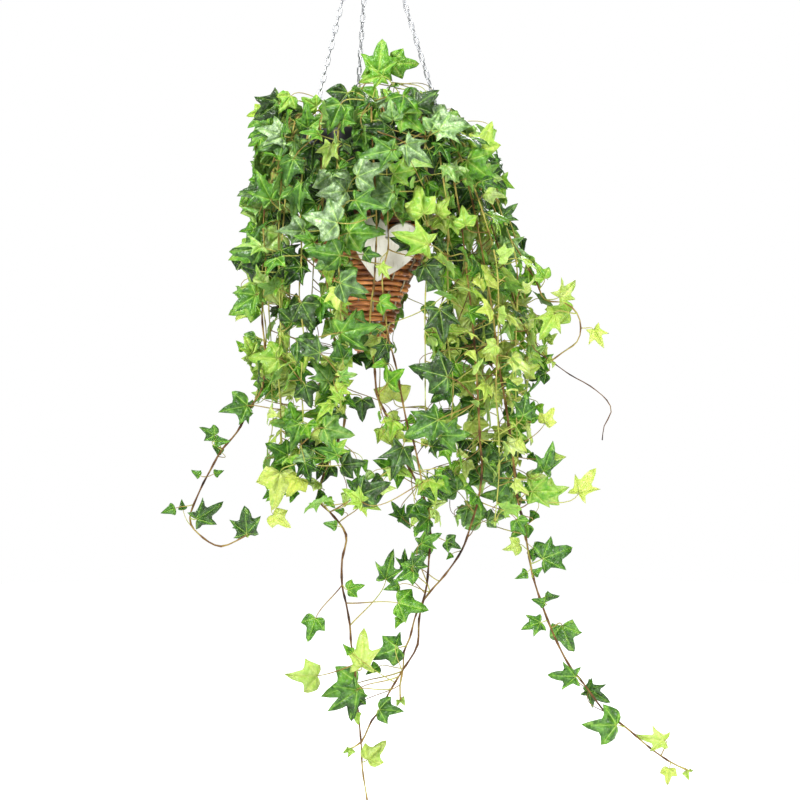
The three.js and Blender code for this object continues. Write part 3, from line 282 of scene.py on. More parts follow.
def smooth_path(points, step):
    """Points about a step apart on a smooth curve through the given ones."""
    path = []
    for i in range(len(points) - 1):
        p0 = points[max(i - 1, 0)]
        p1, p2 = points[i], points[i + 1]
        p3 = points[min(i + 2, len(points) - 1)]
        pieces = max(1, round(norm(sub(p2, p1)) / step))
        for k in range(pieces):
            t = k / pieces
            weights = (
                -0.5 * t + t * t - 0.5 * t ** 3, 1 - 2.5 * t * t + 1.5 * t ** 3,
                0.5 * t + 2 * t * t - 1.5 * t ** 3, -0.5 * t * t + 0.5 * t ** 3,
            )
            point = (0.0, 0.0, 0.0)
            for weight, corner in zip(weights, (p0, p1, p2, p3)):
                point = add(point, corner, weight)
            path.append(point)
    path.append(points[-1])
    return path


# Growing the plant by the part's rule

draw_state = 4711


def draw(low, high):
    """The minimal standard generator, so that every run draws the same numbers."""
    global draw_state
    draw_state = (draw_state * 16807) % 2147483647
    return low + ((high - low) * draw_state) / 2147483647


stems = []


def facing_of(corners):
    a, b, c = corners
    return unit(cross(sub(b, a), sub(c, a)))


def make_foot(ring, corners, behind):
    """Where a stalk can leave a stem, with the ways that it and the face behind it look."""
    middle = (0.0, 0.0, 0.0)
    for corner in corners:
        middle = add(middle, corner, 1 / 3)
    normals = [facing_of(corners), facing_of(behind)]
    return SimpleNamespace(ring=ring, corners=corners, normals=normals, middle=middle)


def feet_at(rings, ring):
    """The feet of a ring: a small triangle on each side above and below it, and the stem's end."""
    feet = []
    for step in (1, -1):
        if ring + step >= len(rings):
            continue
        for side in range(3):
            near, after = rings[ring][side], rings[ring][(side + 1) % 3]
            far = rings[ring + step][side]
            notch = lerp(near, far, STEM.foot_long / norm(sub(near, far)))
            corners = [near, after, notch] if step > 0 else [after, near, notch]
            behind = corners
            if ring - step < len(rings):
                beyond = rings[ring - step][side]
                behind = [after, near, beyond] if step > 0 else [near, after, beyond]
            feet.append(make_foot(ring, corners, behind))
    if ring + 1 >= len(rings):
        feet.append(make_foot(ring, rings[ring], rings[ring]))
    return feet


def add_stem(name, azimuth, root, route, crown=False, bare=False, leaf_above=ANY_HEIGHT, leaf_below=0):
    """A stem stands straight in its hole in the soil, then follows its route."""
    hole = [on_circle(azimuth, root, z) for z in (SOIL_TOP - HOLE_DEPTH + TOUCH_GAP, SOIL_TOP + 8)]
    points = hole + route
    last = len(points) - 1
    rings = rings_along(points, 3, lambda i: STEM.root + (STEM.tip - STEM.root) * i / last)
    feet = [feet_at(rings, ring) if ring >= 3 else [] for ring in range(last + 1)]
    stems.append(SimpleNamespace(
        name=name, points=points, feet=feet, leaves=[], crown=crown, bare=bare, leaf_above=leaf_above,
        leaf_below=leaf_below, path=smooth_path(points, 11),
    ))


def add_crown_stems():
    arc = [(0.1, 0.5), (0.32, 0.85), (0.64, 1), (1, 0.86)]
    for i in range(CROWN.count):
        azimuth = CROWN.turn + (360 / CROWN.count) * i + draw(-4, 4)
        size = OUTER_CROWN if i % 2 else INNER_CROWN
        reach = size.reach * draw(0.85, 1.15)
        rise = CROWN.tall_rise if i == CROWN.tall_stem else size.rise * draw(0.9, 1.1)
        route = [
            on_circle(azimuth + draw(-5, 5), size.root + reach * out, SOIL_TOP + rise * up) for out, up in arc
        ]
        add_stem(f"crown_stem_{i + 1}", azimuth, size.root, route, crown=True)


def over_rim(azimuth, root):
    """Over the pot's rim to where the curtain starts."""
    places = [
        (root + 10, OVER_RIM.start), (POT.rim + 4, OVER_RIM.top), (POT.rim + 20, OVER_RIM.top - 10),
        (OVER_RIM.radius, OVER_RIM.end),
    ]
    return [on_circle(azimuth, radius, height) for radius, height in places]


def add_curtain_stems():
    for i, (azimuth, drift, end, flare) in enumerate(CURTAIN_STEMS):
        root = 98 if i % 2 else 87
        route = over_rim(azimuth, root)
        fall = OVER_RIM.end - end
        steps = rounded(fall / CURTAIN_STEP)
        for k in range(1, steps + 1):
            fallen = min(1, (k * CURTAIN_STEP) / FLARE_FALL)
            turn = azimuth + drift * fallen + draw(-1.6, 1.6)
            radius = OVER_RIM.radius + flare * fallen * (2 - fallen) + draw(-4, 4)
            route.append(on_circle(turn, radius, OVER_RIM.end - (fall * k) / steps))
        add_stem(f"curtain_stem_{i + 1}", azimuth, root, route)


def add_trailing_stems():
    for name, (azimuth, root, options, route) in TRAILING_STEMS.items():
        add_stem(name, azimuth, root, over_rim(azimuth, root) + route, **options)


class Room:
    """What is filled already, as small balls kept in cells: each has a place, a radius and whose it is."""

    CELL = 36
    WIDEST = 16

    def __init__(self):
        self.cells = {}
        self.names = {"leaf": 0}

    def fill(self, places, radius, owner):
        number = self.names.setdefault(owner, len(self.names))
        for x, y, z in places:
            cell = (int(x // self.CELL), int(y // self.CELL), int(z // self.CELL))
            self.cells.setdefault(cell, []).append((x, y, z, radius, number))

    def fill_along(self, start, end, radius, spacing, owner):
        steps = max(1, rounded(norm(sub(start, end)) / spacing))
        self.fill([lerp(start, end, k / steps) for k in range(steps + 1)], radius, owner)

    def held_between(self, low, high):
        first = [int((side - self.WIDEST) // self.CELL) for side in low]
        last = [int((side + self.WIDEST) // self.CELL) + 1 for side in high]
        held = []
        for i in range(first[0], last[0]):
            for j in range(first[1], last[1]):
                for k in range(first[2], last[2]):
                    held.extend(self.cells.get((i, j, k), ()))
        return np.array(held)

    def is_clear(self, places, radii, own=None, ease=1.0):
        """True if the balls keep clear of all but their own stem's. Ease lets them come nearer."""
        places = np.asarray(places)
        held = self.held_between(places.min(axis=0), places.max(axis=0))
        if not len(held):
            return True
        near = (np.abs(held[:, :3] - places[0]) < ROOM_REACH).all(axis=1)
        if own is not None:
            near &= held[:, 4] != self.names[own]
        held = held[near]
        apart = (np.asarray(radii)[:, None] + held[None, :, 3]) * ease
        between = places[:, None, :] - held[None, :, :3]
        return bool(((between * between).sum(axis=2) >= apart * apart).all())


room = Room()


def in_eye(name, radius):
    """A place in the plane of the hook's eye, towards a chain, at a distance from the eye's middle."""
    turn = radians(CHAINS[name][1])
    return (radius * cos(turn), 0, radius * sin(turn) - HOOK.eye_drop)


def chain_corners(name):
    azimuth = CHAINS[name][0]
    return [
        in_eye(name, HOOK.eye + CHAIN_LOOP.at_eye),
        on_circle(azimuth, POT.rim + CHAIN.clear, POT.top + 6),
        on_circle(azimuth, POT.rim + CHAIN.clear, POT.top - 12),
        on_circle(azimuth, RIM.radius + CHAIN_LOOP.at_rim, RIM.height + 3),
    ]


def fill_holder():
    for name in CHAINS:
        corners = chain_corners(name)
        for start, end in zip(corners, corners[1:]):
            room.fill_along(start, end, 5, 5, name)
    high = PLAQUE.top
    low = z = high - PLAQUE.height * 0.9
    while z <= high:
        lean = (high - z) * tan(radians(PLAQUE.lean))
        half = (PLAQUE.width / 2) * ((z - low) / (high - low))
        y = lean - RIM.radius - RIM.thick - PLAQUE.thick
        shift = PLAQUE.x - (high - z) * sin(radians(PLAQUE.turn))
        room.fill_along((shift - half, y, z), (shift + half, y, z), 8, 12, "plaque")
        z += 12


def cone_radius(height):
    lower = next((i for i, (z, _) in enumerate(CONE_PROFILE) if z <= height), -1)
    if lower <= 0:
        return CONE_PROFILE[0][1] if lower == 0 else 0
    (z0, r0), (z1, r1) = CONE_PROFILE[lower - 1], CONE_PROFILE[lower]
    return r0 + ((r1 - r0) * (height - z0)) / (z1 - z0)


def holder_radius(height):
    """How far from the axis the holder reaches at a height."""
    if height > SOIL_TOP + 6:
        return 0 if height > POT.top + 8 else POT.rim + 6
    if height > CONE_TOP:
        return RIM.radius + RIM.thick + 6
    return cone_radius(max(height, CONE_TIP)) + 8 if height > CONE_TIP - 10 else 0


def seen_from_front(point):
    scale = VIEW.distance / (VIEW.distance + point[1])
    return VIEW.x + (point[0] - VIEW.x) * scale, VIEW.z + (point[2] - VIEW.z) * scale


def is_inside(x, z, outline):
    inside = False
    for i, (x1, z1) in enumerate(outline):
        x0, z0 = outline[i - 1]
        if (z1 > z) != (z0 > z) and x < x1 + ((x0 - x1) * (z - z1)) / (z0 - z1):
            inside = not inside
    return inside


def is_in_foliage(point):
    """The foliage keeps the outline that it shows from the front, with its open windows."""
    if hypot(point[0], point[1]) < holder_radius(point[2]) or abs(point[1]) > FOLIAGE_DEPTH:
        return False
    x, z = seen_from_front(point)
    for left, right, low, high, front_only in WINDOWS:
        if left < x < right and low < z < high and (not front_only or point[1] < 0):
            return False
    return is_inside(x, z, FOLIAGE_OUTLINE)


# The right half of each plain outline, from the stalk to the tip, for a leaf of length 1
PLAIN_OUTLINES = {
    "five": [(0.018, 0), (0.44, -0.12), (0.4, 0.16), (0.56, 0.52), (0.2, 0.5), (0, 1)],
    "three": [(0.018, 0), (0.34, -0.09), (0.54, 0.36), (0.19, 0.46), (0, 1)],
    "young": [(0.035, 0), (0.4, 0.14), (0, 1)],
}


def whole_outline(half):
    return half + [(-x, y) for x, y in half[-2::-1]]


def ball_places(form):
    """Where balls stand on a leaf of length 1: its middle first, its corners, then a grid."""
    outline = whole_outline(PLAIN_OUTLINES[form])
    places = [(0, 0.45)] + [(x * 0.97, y * 0.97) for x, y in outline]
    y = -0.1
    while y < 1:
        x = -5 * BALL_SPACING
        while x < 0.6:
            if is_inside(x, y, outline):
                places.append((x, y))
            x += BALL_SPACING
        y += BALL_SPACING
    return np.array(places)


BALL_PLACES = {form: ball_places(form) for form in PLAIN_OUTLINES}


def blade_point(leaf, x, y):
    lift = leaf.cup * abs(x) - leaf.droop * y * y
    point = add(leaf.base, leaf.side, x * leaf.length)
    return add(add(point, leaf.tip, y * leaf.length), leaf.face, lift * leaf.length)


def blade_balls(leaf):
    grid = BALL_PLACES[leaf.form]
    x, y = grid[:, 0:1], grid[:, 1:2]
    lift = leaf.cup * np.abs(x) - leaf.droop * y * y
    size = leaf.length
    places = np.array(leaf.base) + x * size * np.array(leaf.side) + y * size * np.array(leaf.tip)
    return places + lift * size * np.array(leaf.face), max(BALL_RADIUS * size, 1.5)


def stalk_balls(leaf):
    start = leaf.foot.middle
    long = norm(sub(start, leaf.base))
    places = []
    along = 8
    while along < long - 4:
        places.append(lerp(start, leaf.base, along / long))
        along += 5
    return places


def make_leaf(base, tip, face, length, tone, cup, droop, three, painted_sheen=None):
    """A leaf: where its stalk joins, the ways of its tip, face and side, its form and its look."""
    tip = unit(tip)
    face = unit(add(face, tip, -dot(face, tip)))
    form = "three" if three < LEAF_SIZE.three_share else "five"
    return SimpleNamespace(
        base=base, length=length, tone=tone, cup=cup, droop=droop, tip=tip, face=face, side=cross(tip, face),
        form="young" if length < LEAF_SIZE.young else form, edge=None, painted_sheen=painted_sheen, start=None,
    )


def stalk_fit(leaf, foot, away):
    """How well a straight stalk from a foot meets the blade, with 1 for no twist."""
    across = unit(add(leaf.side, away, -dot(leaf.side, away)))
    over = cross(across, away)
    best = -9
    for first in range(3):
        match = size = 0
        for i, (x, z) in enumerate(((-0.87, -0.5), (0.87, -0.5), (0, 1))):
            way = sub(foot.corners[(3 + first - i) % 3], foot.middle)
            u, v = dot(way, across), dot(way, over)
            match += x * u + z * v
            size += u * u + v * v
        best = max(best, match / sqrt(3 * size))
    return best


def find_foot(stem, ring, leaf):
    """The free foot at a ring that faces the leaf best, if its stalk parts from the others there."""
    others = [other for other in stem.leaves if other.foot.ring == ring]
    best = None
    for foot in stem.feet[ring]:
        away = unit(sub(leaf.base, foot.middle))
        facing = min(dot(normal, away) for normal in foot.normals)
        if facing < STEM.facing:
            continue
        fit = stalk_fit(leaf, foot, away)
        if fit < STEM.least_fit or (best and facing * fit < best[0]):
            continue
        crowded = any(
            other.foot is foot or dot(sub(foot.middle, other.foot.middle), sub(away, other.away)) < 0
            for other in others
        )
        if not crowded:
            best = (facing * fit, foot, away)
    return best


def has_room(leaf, stalk, radius, ease=1.0):
    """Whether a blade and the balls of its stalk have room."""
    blades, blade_radius = blade_balls(leaf)
    places = np.vstack([blades, np.array(stalk).reshape(-1, 3)])
    radii = np.full(len(places), radius)
    radii[:len(blades)] = blade_radius
    return room.is_clear(places, radii, None, ease)


def take_room(leaf, stem, stalk, radius, share=1.0):
    """Puts a leaf on a stem. Its blade and stalk then count as filled."""
    blades, blade_radius = blade_balls(leaf)
    room.fill(blades, blade_radius * share, "leaf")
    room.fill(stalk, radius, "leaf")
    stem.leaves.append(leaf)
    return True


def settle(leaf, stem, joint):
    """A leaf of the part goes in if its blade and stalk have room. Near its foot its own stem may be near."""
    _, leaf.foot, leaf.away = joint
    stalk = stalk_balls(leaf)
    if not has_room(leaf, stalk[2:], STEM.keep_out):
        return False
    first = stalk[:2]
    if first and not room.is_clear(first, [STEM.keep_out] * len(first), stem.name):
        return False
    return take_room(leaf, stem, stalk, STEM.keep_out)


def reach_of(leaf, places):
    """How long a stalk from each place would be, and how much it would run the leaf's own way."""
    way = np.array(leaf.base) - places
    long = np.sqrt((way * way).sum(axis=1))
    return long, way @ np.array(leaf.tip) / np.maximum(long, 1e-9)


def find_joint(leaf):
    """The nearest ring of a stem that a leaf's stalk can come from without folding back."""
    long, ahead = reach_of(leaf, joints.places)
    cost = long * (1.6 - ahead)
    fits = (long <= STALK.longest) & (long >= STALK.shortest) & (ahead >= STALK.least_ahead)
    for number in np.flatnonzero(fits)[np.argsort(cost[fits], kind="stable")]:
        stem, ring = joints.rings[number]
        joint = find_foot(stem, ring, leaf)
        if joint:
            return stem, joint
    return None


def place_seen_leaf(x, y, z, length, turn, tone):
    """A leaf of the part that shows one by one, at the nearest turn and depth where it has room."""
    # Painted highlight: full on a pale leaf, some on the lightest ones, a little on the rest.
    painted_sheen = 1.0 if tone < 0 else 0.4 if tone > 75 else 0.1
    tone = 0.3 if tone < 0 else tone / 100
    lean = draw(-0.35, 0.25)
    roll = draw(-0.5, 0.5)
    cup, droop, three = draw(-0.12, 0.2), draw(0, 0.22), draw(0, 1)
    for turn_shift in TURN_SHIFTS:
        angle = radians(turn + turn_shift)
        tip = (cos(angle), lean, sin(angle))
        face = (roll * sin(angle), -1, -roll * cos(angle))
        for shift in DEPTH_SHIFTS:
            base = add((x, y + shift, z), unit(tip), -0.45 * length)
            leaf = make_leaf(base, tip, face, length, tone, cup, droop, three, painted_sheen)
            found = find_joint(leaf)
            if found and settle(leaf, *found):
                return


def frame_at(point, hand):
    """Turns outward, sideways and upward amounts at a place into a vector. Sideways is left if hand is 1."""
    spread = hypot(point[0], point[1]) or 1
    out = (point[0] / spread, point[1] / spread, 0)
    side = scaled((-out[1], out[0], 0), hand)
    return lambda outward, sideways, upward: add(add((0, 0, upward), out, outward), side, sideways)


# Ranges for the ways of a stalk, of its leaf's tip and of the leaf's face: outward, sideways and upward
LEAF_WAYS = {
    "part_crown": [
        ((-0.2, 0.9), (-0.9, 0.9), (-0.3, 0.7)), ((0.1, 1), (-0.9, 0.9), (-0.7, 0.3)),
        ((0.5, 1), (-0.5, 0.5), (0.3, 1)),
    ],
    "part_curtain": [
        ((0.1, 1), (-0.4, 1.1), (-0.4, 0.6)), ((-0.1, 0.5), (-0.5, 1), (-1.1, 0.2)),
        (1, (-0.6, 0.6), (-0.1, 0.7)),
    ],
    "own_crown": [
        ((-0.3, 1), (-1, 1), (-0.4, 0.9)), ((0.1, 1), (-0.9, 0.9), (-0.7, 0.3)),
        ((0.4, 1), (-0.5, 0.5), (0.3, 1)),
    ],
    "own_curtain": [
        ((-0.2, 1), (-0.6, 1.1), (-0.5, 0.6)), ((-0.1, 0.6), (-0.6, 1), (-1.1, 0.2)),
        (1, (-0.6, 0.6), (-0.1, 0.8)),
    ],
}


def draw_ways(kind, mix, draw_one):
    """Draws the ways of a stalk, of its leaf's tip, which leans the stalk's way, and of the leaf's face."""
    away, tip, face = (
        mix(*(draw_one(*part) if isinstance(part, tuple) else part for part in way))
        for way in LEAF_WAYS[kind]
    )
    away = unit(away)
    return away, add(tip, away, 0.6), face


def grow_leaf(stem, ring, hand):
    """A leaf of the part by rule, on a ring of a stem."""
    point = stem.points[ring]
    mix = frame_at(point, hand)
    for _ in range(CROWN.tries if stem.crown else LEAF_TRIES):
        away, tip, face = draw_ways("part_crown" if stem.crown else "part_curtain", mix, draw)
        if stem.crown:
            grown = draw(LEAF_SIZE.crown_low, LEAF_SIZE.crown_high)
        else:
            along = ring / len(stem.points)
            grown = draw(0.8, 1.15) * (LEAF_SIZE.root + (LEAF_SIZE.tip - LEAF_SIZE.root) * along)
        reach = draw(STALK.low, STALK.high) * (STALK.crown_share if stem.crown else 1)
        cup, droop, three, tone = draw(-0.12, 0.2), draw(0, 0.22), draw(0, 1), draw(0, 1)
        leaf = make_leaf(add(point, away, reach), tip, face, grown, tone, cup, droop, three)
        corners = [(0, 0), (0, 0.5), (0, 1), (0.5, 0.45), (-0.5, 0.45)]
        if dot(away, leaf.tip) < STALK.least_ahead:
            continue
        if all(is_in_foliage(blade_point(leaf, x, y)) for x, y in corners):
            joint = find_foot(stem, ring, leaf)
            if joint and settle(leaf, stem, joint):
                return


def grow_part_leaves():
    for row in SEEN_LEAVES:
        place_seen_leaf(*row)
    for turn in range(LEAF_ROUNDS):
        for stem in stems:
            for ring in range(3, len(stem.points)):
                leafy = max(stem.leaf_above, LOWEST_LEAF) < stem.points[ring][2] < stem.leaf_below
                due = stem.crown or (ring + turn) % LEAF_TURNS == 0
                if leafy and due and sum(len(other.leaves) for other in stems) < LEAF_LIMIT:
                    grow_leaf(stem, ring, -1 if (ring + turn) % 2 else 1)


add_crown_stems()
add_curtain_stems()
add_trailing_stems()
fill_holder()
for grown_stem in stems:
    for start_point, end_point in zip(grown_stem.points[1:], grown_stem.points[2:]):
        room.fill_along(start_point, end_point, STEM.keep_out, 5, grown_stem.name)
joints = SimpleNamespace(
    places=np.array([point for stem in stems for point in stem.points[3:]]),
    rings=[(stem, ring) for stem in stems for ring in range(3, len(stem.points))],
)
grow_part_leaves()

# The rest of the leaves, which only the scene has. Spots of the front view are counted across and down in
# steps of 1.6 mm.

STEP = 1.6
VIEW_LEFT = 370
VIEW_TOP = -140

# Gaps where the background shows between the leaves: across, down, half their width and half their height
GAPS = [
    (316, 115, 4, 6), (337, 123, 3, 5), (346, 122, 4, 6), (271, 128, 3, 4), (284, 122, 5, 2),
    (270, 163, 6, 11), (276, 195, 3, 4), (263, 211, 2, 3), (286, 217, 6, 3), (271, 226, 3, 4),
    (271, 247, 4, 3), (284, 243, 5, 6), (296, 250, 5, 6), (304, 253, 4, 12), (271, 277, 2, 2),
    (296, 271, 3, 3), (310, 273, 8, 7), (301, 290, 14, 9), (312, 299, 9, 4), (330, 297, 4, 5),
    (292, 319, 3, 4), (330, 341, 8, 8), (326, 352, 5, 7), (310, 375, 7, 8), (266, 322, 13, 17),
    (292, 345, 6, 5), (256, 372, 9, 6), (355, 378, 4, 15), (371, 387, 8, 12), (350, 428, 6, 22),
    (362, 441, 13, 14), (376, 468, 6, 5), (350, 475, 7, 8), (330, 480, 11, 9), (297, 470, 6, 9),
    (290, 474, 4, 6), (302, 398, 4, 9), (306, 424, 6, 12), (266, 409, 12, 9), (276, 432, 10, 10),
    (330, 437, 3, 2), (430, 248, 3, 5), (463, 249, 4, 8), (473, 240, 3, 4), (486, 242, 3, 4),
    (494, 258, 2, 5), (424, 296, 18, 15), (410, 325, 7, 26), (404, 366, 9, 24), (420, 355, 12, 9),
    (416, 395, 13, 15), (497, 299, 4, 3), (520, 267, 8, 6), (458, 313, 4, 4), (478, 312, 5, 3),
    (494, 331, 4, 7), (509, 339, 4, 4), (535, 304, 4, 6), (540, 339, 4, 4), (470, 374, 5, 4),
    (486, 371, 3, 5), (530, 367, 6, 4), (438, 455, 16, 12), (425, 448, 7, 16), (498, 416, 4, 12),
    (484, 424, 4, 6), (463, 418, 5, 4), (467, 494, 12, 7), (489, 506, 9, 13), (519, 464, 6, 7),
    (408, 455, 5, 14), (404, 492, 6, 12), (447, 510, 9, 8), (503, 470, 4, 3), (528, 420, 9, 20),
    (405, 410, 5, 12), (244, 278, 5, 8), (244, 328, 9, 9), (268, 334, 7, 4), (328, 346, 5, 8),
    (372, 415, 5, 7), (395, 405, 4, 7), (388, 405, 5, 7), (408, 404, 5, 9), (380, 452, 9, 8),
    (374, 466, 9, 5), (392, 500, 9, 10), (308, 492, 8, 10), (298, 501, 5, 5), (337, 500, 5, 4),
    (545, 292, 8, 8), (400, 329, 5, 7), (538, 392, 9, 7), (535, 446, 9, 6), (514, 463, 6, 4),
    (527, 466, 4, 5), (488, 488, 5, 4), (495, 416, 4, 12), (455, 404, 4, 5), (281, 396, 4, 5),
    (381, 219, 16, 3), (467, 452, 4, 3), (470, 427, 4, 3), (448, 404, 6, 6), (386, 476, 4, 5),
    (420, 500, 4, 4), (244, 157, 6, 8), (246, 172, 7, 9), (241, 183, 5, 4), (244, 208, 5, 6),
    (241, 219, 9, 5), (236, 229, 5, 5), (241, 237, 6, 5), (235, 244, 4, 5), (418, 310, 9, 12),
    (417, 335, 6, 12), (262, 425, 5, 9), (303, 406, 6, 6), (287, 399, 6, 4), (300, 333, 11, 4),
    (317, 331, 6, 6), (270, 341, 7, 4), (235, 301, 4, 6), (538, 288, 6, 5), (552, 300, 6, 4),
    (532, 254, 7, 5), (515, 264, 4, 4), (262, 372, 5, 3),
]

# Leaves that show one by one: the spots where the stalk joins and where the tip ends, then tone and
# the share of painted highlight, a whitish reflection painted into the colour, both in hundredths
SHOWN_LEAVES = [
    (281, 112, 261, 98, 15, 10), (268, 117, 247, 127, 45, 10), (262, 112, 245, 115, 75, 0),
    (287, 114, 281, 95, 60, 0), (290, 117, 294, 100, 10, 0), (268, 127, 248, 141, 45, 20),
    (284, 141, 255, 149, 30, 20), (320, 135, 300, 130, 50, 10), (308, 128, 306, 103, 40, 10),
    (294, 141, 312, 156, 45, 50), (293, 163, 284, 190, 40, 10), (341, 104, 327, 135, 35, 10),
    (260, 182, 253, 166, 40, 0), (259, 193, 236, 193, 20, 50), (271, 200, 256, 170, 40, 10),
    (299, 190, 293, 219, 45, 30), (346, 191, 316, 193, 30, 100), (341, 220, 301, 226, 30, 80),
    (303, 231, 275, 230, 25, 60), (254, 229, 238, 231, 40, 0), (255, 252, 226, 258, 55, 10),
    (335, 261, 306, 240, 40, 70), (328, 269, 330, 286, 70, 0), (353, 266, 339, 268, 50, 50),
    (340, 283, 370, 293, 25, 30), (364, 254, 382, 254, 30, 10), (355, 201, 392, 214, 20, 20),
    (393, 192, 358, 199, 35, 50), (350, 232, 385, 231, 40, 25), (363, 179, 393, 160, 35, 70),
    (392, 150, 358, 157, 35, 20), (343, 145, 362, 146, 30, 60), (378, 100, 346, 115, 50, 10),
    (361, 117, 353, 141, 40, 10), (393, 120, 390, 98, 40, 60), (391, 99, 383, 88, 65, 0),
    (404, 98, 426, 100, 35, 0), (412, 105, 438, 93, 20, 40), (403, 114, 426, 134, 50, 10),
    (406, 144, 431, 163, 30, 80), (431, 131, 441, 110, 40, 60), (439, 131, 472, 124, 40, 100),
    (431, 133, 437, 161, 25, 10), (459, 155, 458, 136, 45, 10), (456, 134, 467, 134, 80, 0),
    (473, 157, 464, 139, 20, 40), (474, 177, 500, 165, 45, 20), (500, 177, 503, 204, 60, 0),
    (421, 213, 417, 184, 75, 10), (410, 246, 390, 237, 5, 0), (447, 260, 423, 259, 80, 10),
    (444, 250, 438, 234, 40, 60), (446, 209, 436, 199, 70, 0), (450, 208, 453, 194, 50, 20),
    (440, 219, 431, 228, 75, 0), (455, 221, 446, 214, 75, 0), (463, 222, 472, 230, 50, 0),
    (465, 218, 473, 191, 12, 0), (480, 212, 478, 200, 75, 0), (480, 216, 491, 220, 85, 0),
    (500, 219, 518, 202, 30, 20), (499, 222, 519, 229, 15, 0), (481, 224, 495, 238, 80, 0),
    (501, 246, 534, 261, 45, 70), (481, 260, 479, 244, 60, 50), (452, 248, 462, 272, 8, 0),
    (442, 276, 411, 271, 25, 30), (467, 284, 449, 272, 75, 10), (468, 282, 450, 294, 75, 10),
    (478, 280, 503, 280, 20, 0), (479, 281, 492, 306, 20, 70), (513, 291, 508, 260, 35, 20),
    (530, 284, 528, 261, 55, 0), (281, 250, 305, 264, 8, 0), (301, 267, 284, 285, 15, 0),
    (280, 283, 290, 269, 60, 0), (262, 276, 273, 260, 15, 0), (262, 282, 272, 301, 65, 0),
    (252, 301, 236, 295, 55, 0), (255, 304, 227, 315, 55, 10), (292, 322, 297, 292, 20, 10),
    (306, 307, 312, 333, 12, 10), (322, 313, 335, 316, 25, 0), (337, 300, 348, 319, 75, 10),
    (336, 335, 330, 317, 50, 30), (351, 333, 388, 327, 35, 20), (320, 353, 295, 336, 20, 20),
    (268, 362, 241, 356, 70, 30), (256, 338, 240, 350, 40, 30), (296, 366, 305, 394, 35, 0),
    (305, 385, 312, 409, 15, 10), (328, 381, 311, 357, 45, 40), (346, 348, 325, 363, 40, 30),
    (340, 376, 358, 375, 55, 40), (336, 392, 353, 378, 80, 10), (340, 400, 330, 384, 70, 10),
    (378, 356, 372, 332, 60, 10), (386, 344, 374, 363, 10, 0), (375, 357, 351, 357, 15, 0),
    (495, 318, 474, 321, 60, 30), (494, 333, 459, 338, 15, 20), (488, 356, 487, 335, 90, 0),
    (508, 322, 513, 344, 60, 40), (530, 357, 546, 344, 55, 40), (508, 358, 523, 377, 50, 30),
    (510, 382, 518, 399, 40, 10), (456, 385, 443, 399, 60, 0), (499, 397, 471, 387, 65, 40),
    (494, 400, 474, 407, 75, 10), (452, 385, 431, 401, 20, 0), (527, 420, 534, 401, 40, 0),
    (527, 421, 502, 418, 50, 0), (441, 440, 469, 432, 40, 60), (505, 448, 529, 441, 20, 0),
    (484, 464, 519, 457, 30, 20), (481, 465, 501, 488, 35, 40), (506, 460, 517, 479, 15, 0),
    (478, 462, 461, 449, 30, 10), (480, 478, 461, 470, 30, 10), (514, 496, 479, 494, 45, 40),
    (530, 485, 527, 504, 35, 0), (457, 491, 436, 477, 30, 20), (428, 480, 437, 506, 70, 0),
    (415, 504, 426, 526, 25, 0), (402, 517, 391, 501, 25, 0), (481, 520, 457, 507, 40, 30),
    (487, 520, 506, 515, 30, 60), (528, 524, 510, 537, 35, 0), (403, 447, 391, 481, 15, 10),
    (295, 422, 289, 401, 40, 0), (296, 422, 269, 424, 45, 10), (300, 424, 291, 451, 40, 10),
    (288, 455, 265, 443, 30, 0), (285, 462, 279, 485, 35, 0), (312, 458, 290, 460, 35, 60),
    (312, 450, 302, 445, 20, 0), (305, 463, 310, 483, 15, 0), (324, 428, 355, 436, 50, 40),
    (343, 412, 321, 415, 20, 10), (335, 452, 346, 439, 60, 0), (337, 455, 314, 448, 40, 10),
    (342, 465, 367, 462, 12, 10), (360, 495, 347, 479, 15, 0), (360, 495, 389, 482, 15, 10),
    (362, 502, 342, 488, 70, 10), (358, 503, 381, 507, 75, 10), (344, 512, 334, 510, 30, 0),
    (337, 526, 323, 523, 40, 20), (418, 527, 415, 538, 50, 0), (446, 541, 462, 549, 25, 10),
    (428, 544, 412, 555, 35, 10), (452, 554, 446, 560, 40, 0), (405, 567, 404, 550, 15, 0),
    (413, 566, 427, 552, 25, 10), (405, 570, 430, 575, 40, 50), (400, 618, 395, 629, 50, 0),
    (396, 645, 400, 632, 30, 0), (352, 653, 343, 645, 50, 0), (357, 690, 329, 712, 30, 10),
    (353, 694, 352, 721, 20, 0), (533, 548, 549, 561, 25, 0), (588, 689, 611, 703, 20, 10),
    (588, 692, 592, 678, 25, 0), (254, 404, 243, 405, 20, 0), (222, 453, 212, 445, 20, 0),
    (183, 510, 181, 499, 25, 0), (243, 526, 232, 528, 20, 0), (546, 373, 529, 381, 15, 0),
    (603, 334, 610, 330, 80, 0), (248, 412, 238, 425, 30, 0), (553, 458, 567, 457, 80, 20),
    (546, 494, 570, 487, 70, 40), (468, 508, 463, 528, 30, 20), (536, 512, 528, 524, 30, 0),
    (300, 478, 286, 498, 95, 0), (330, 466, 322, 484, 15, 0),
]

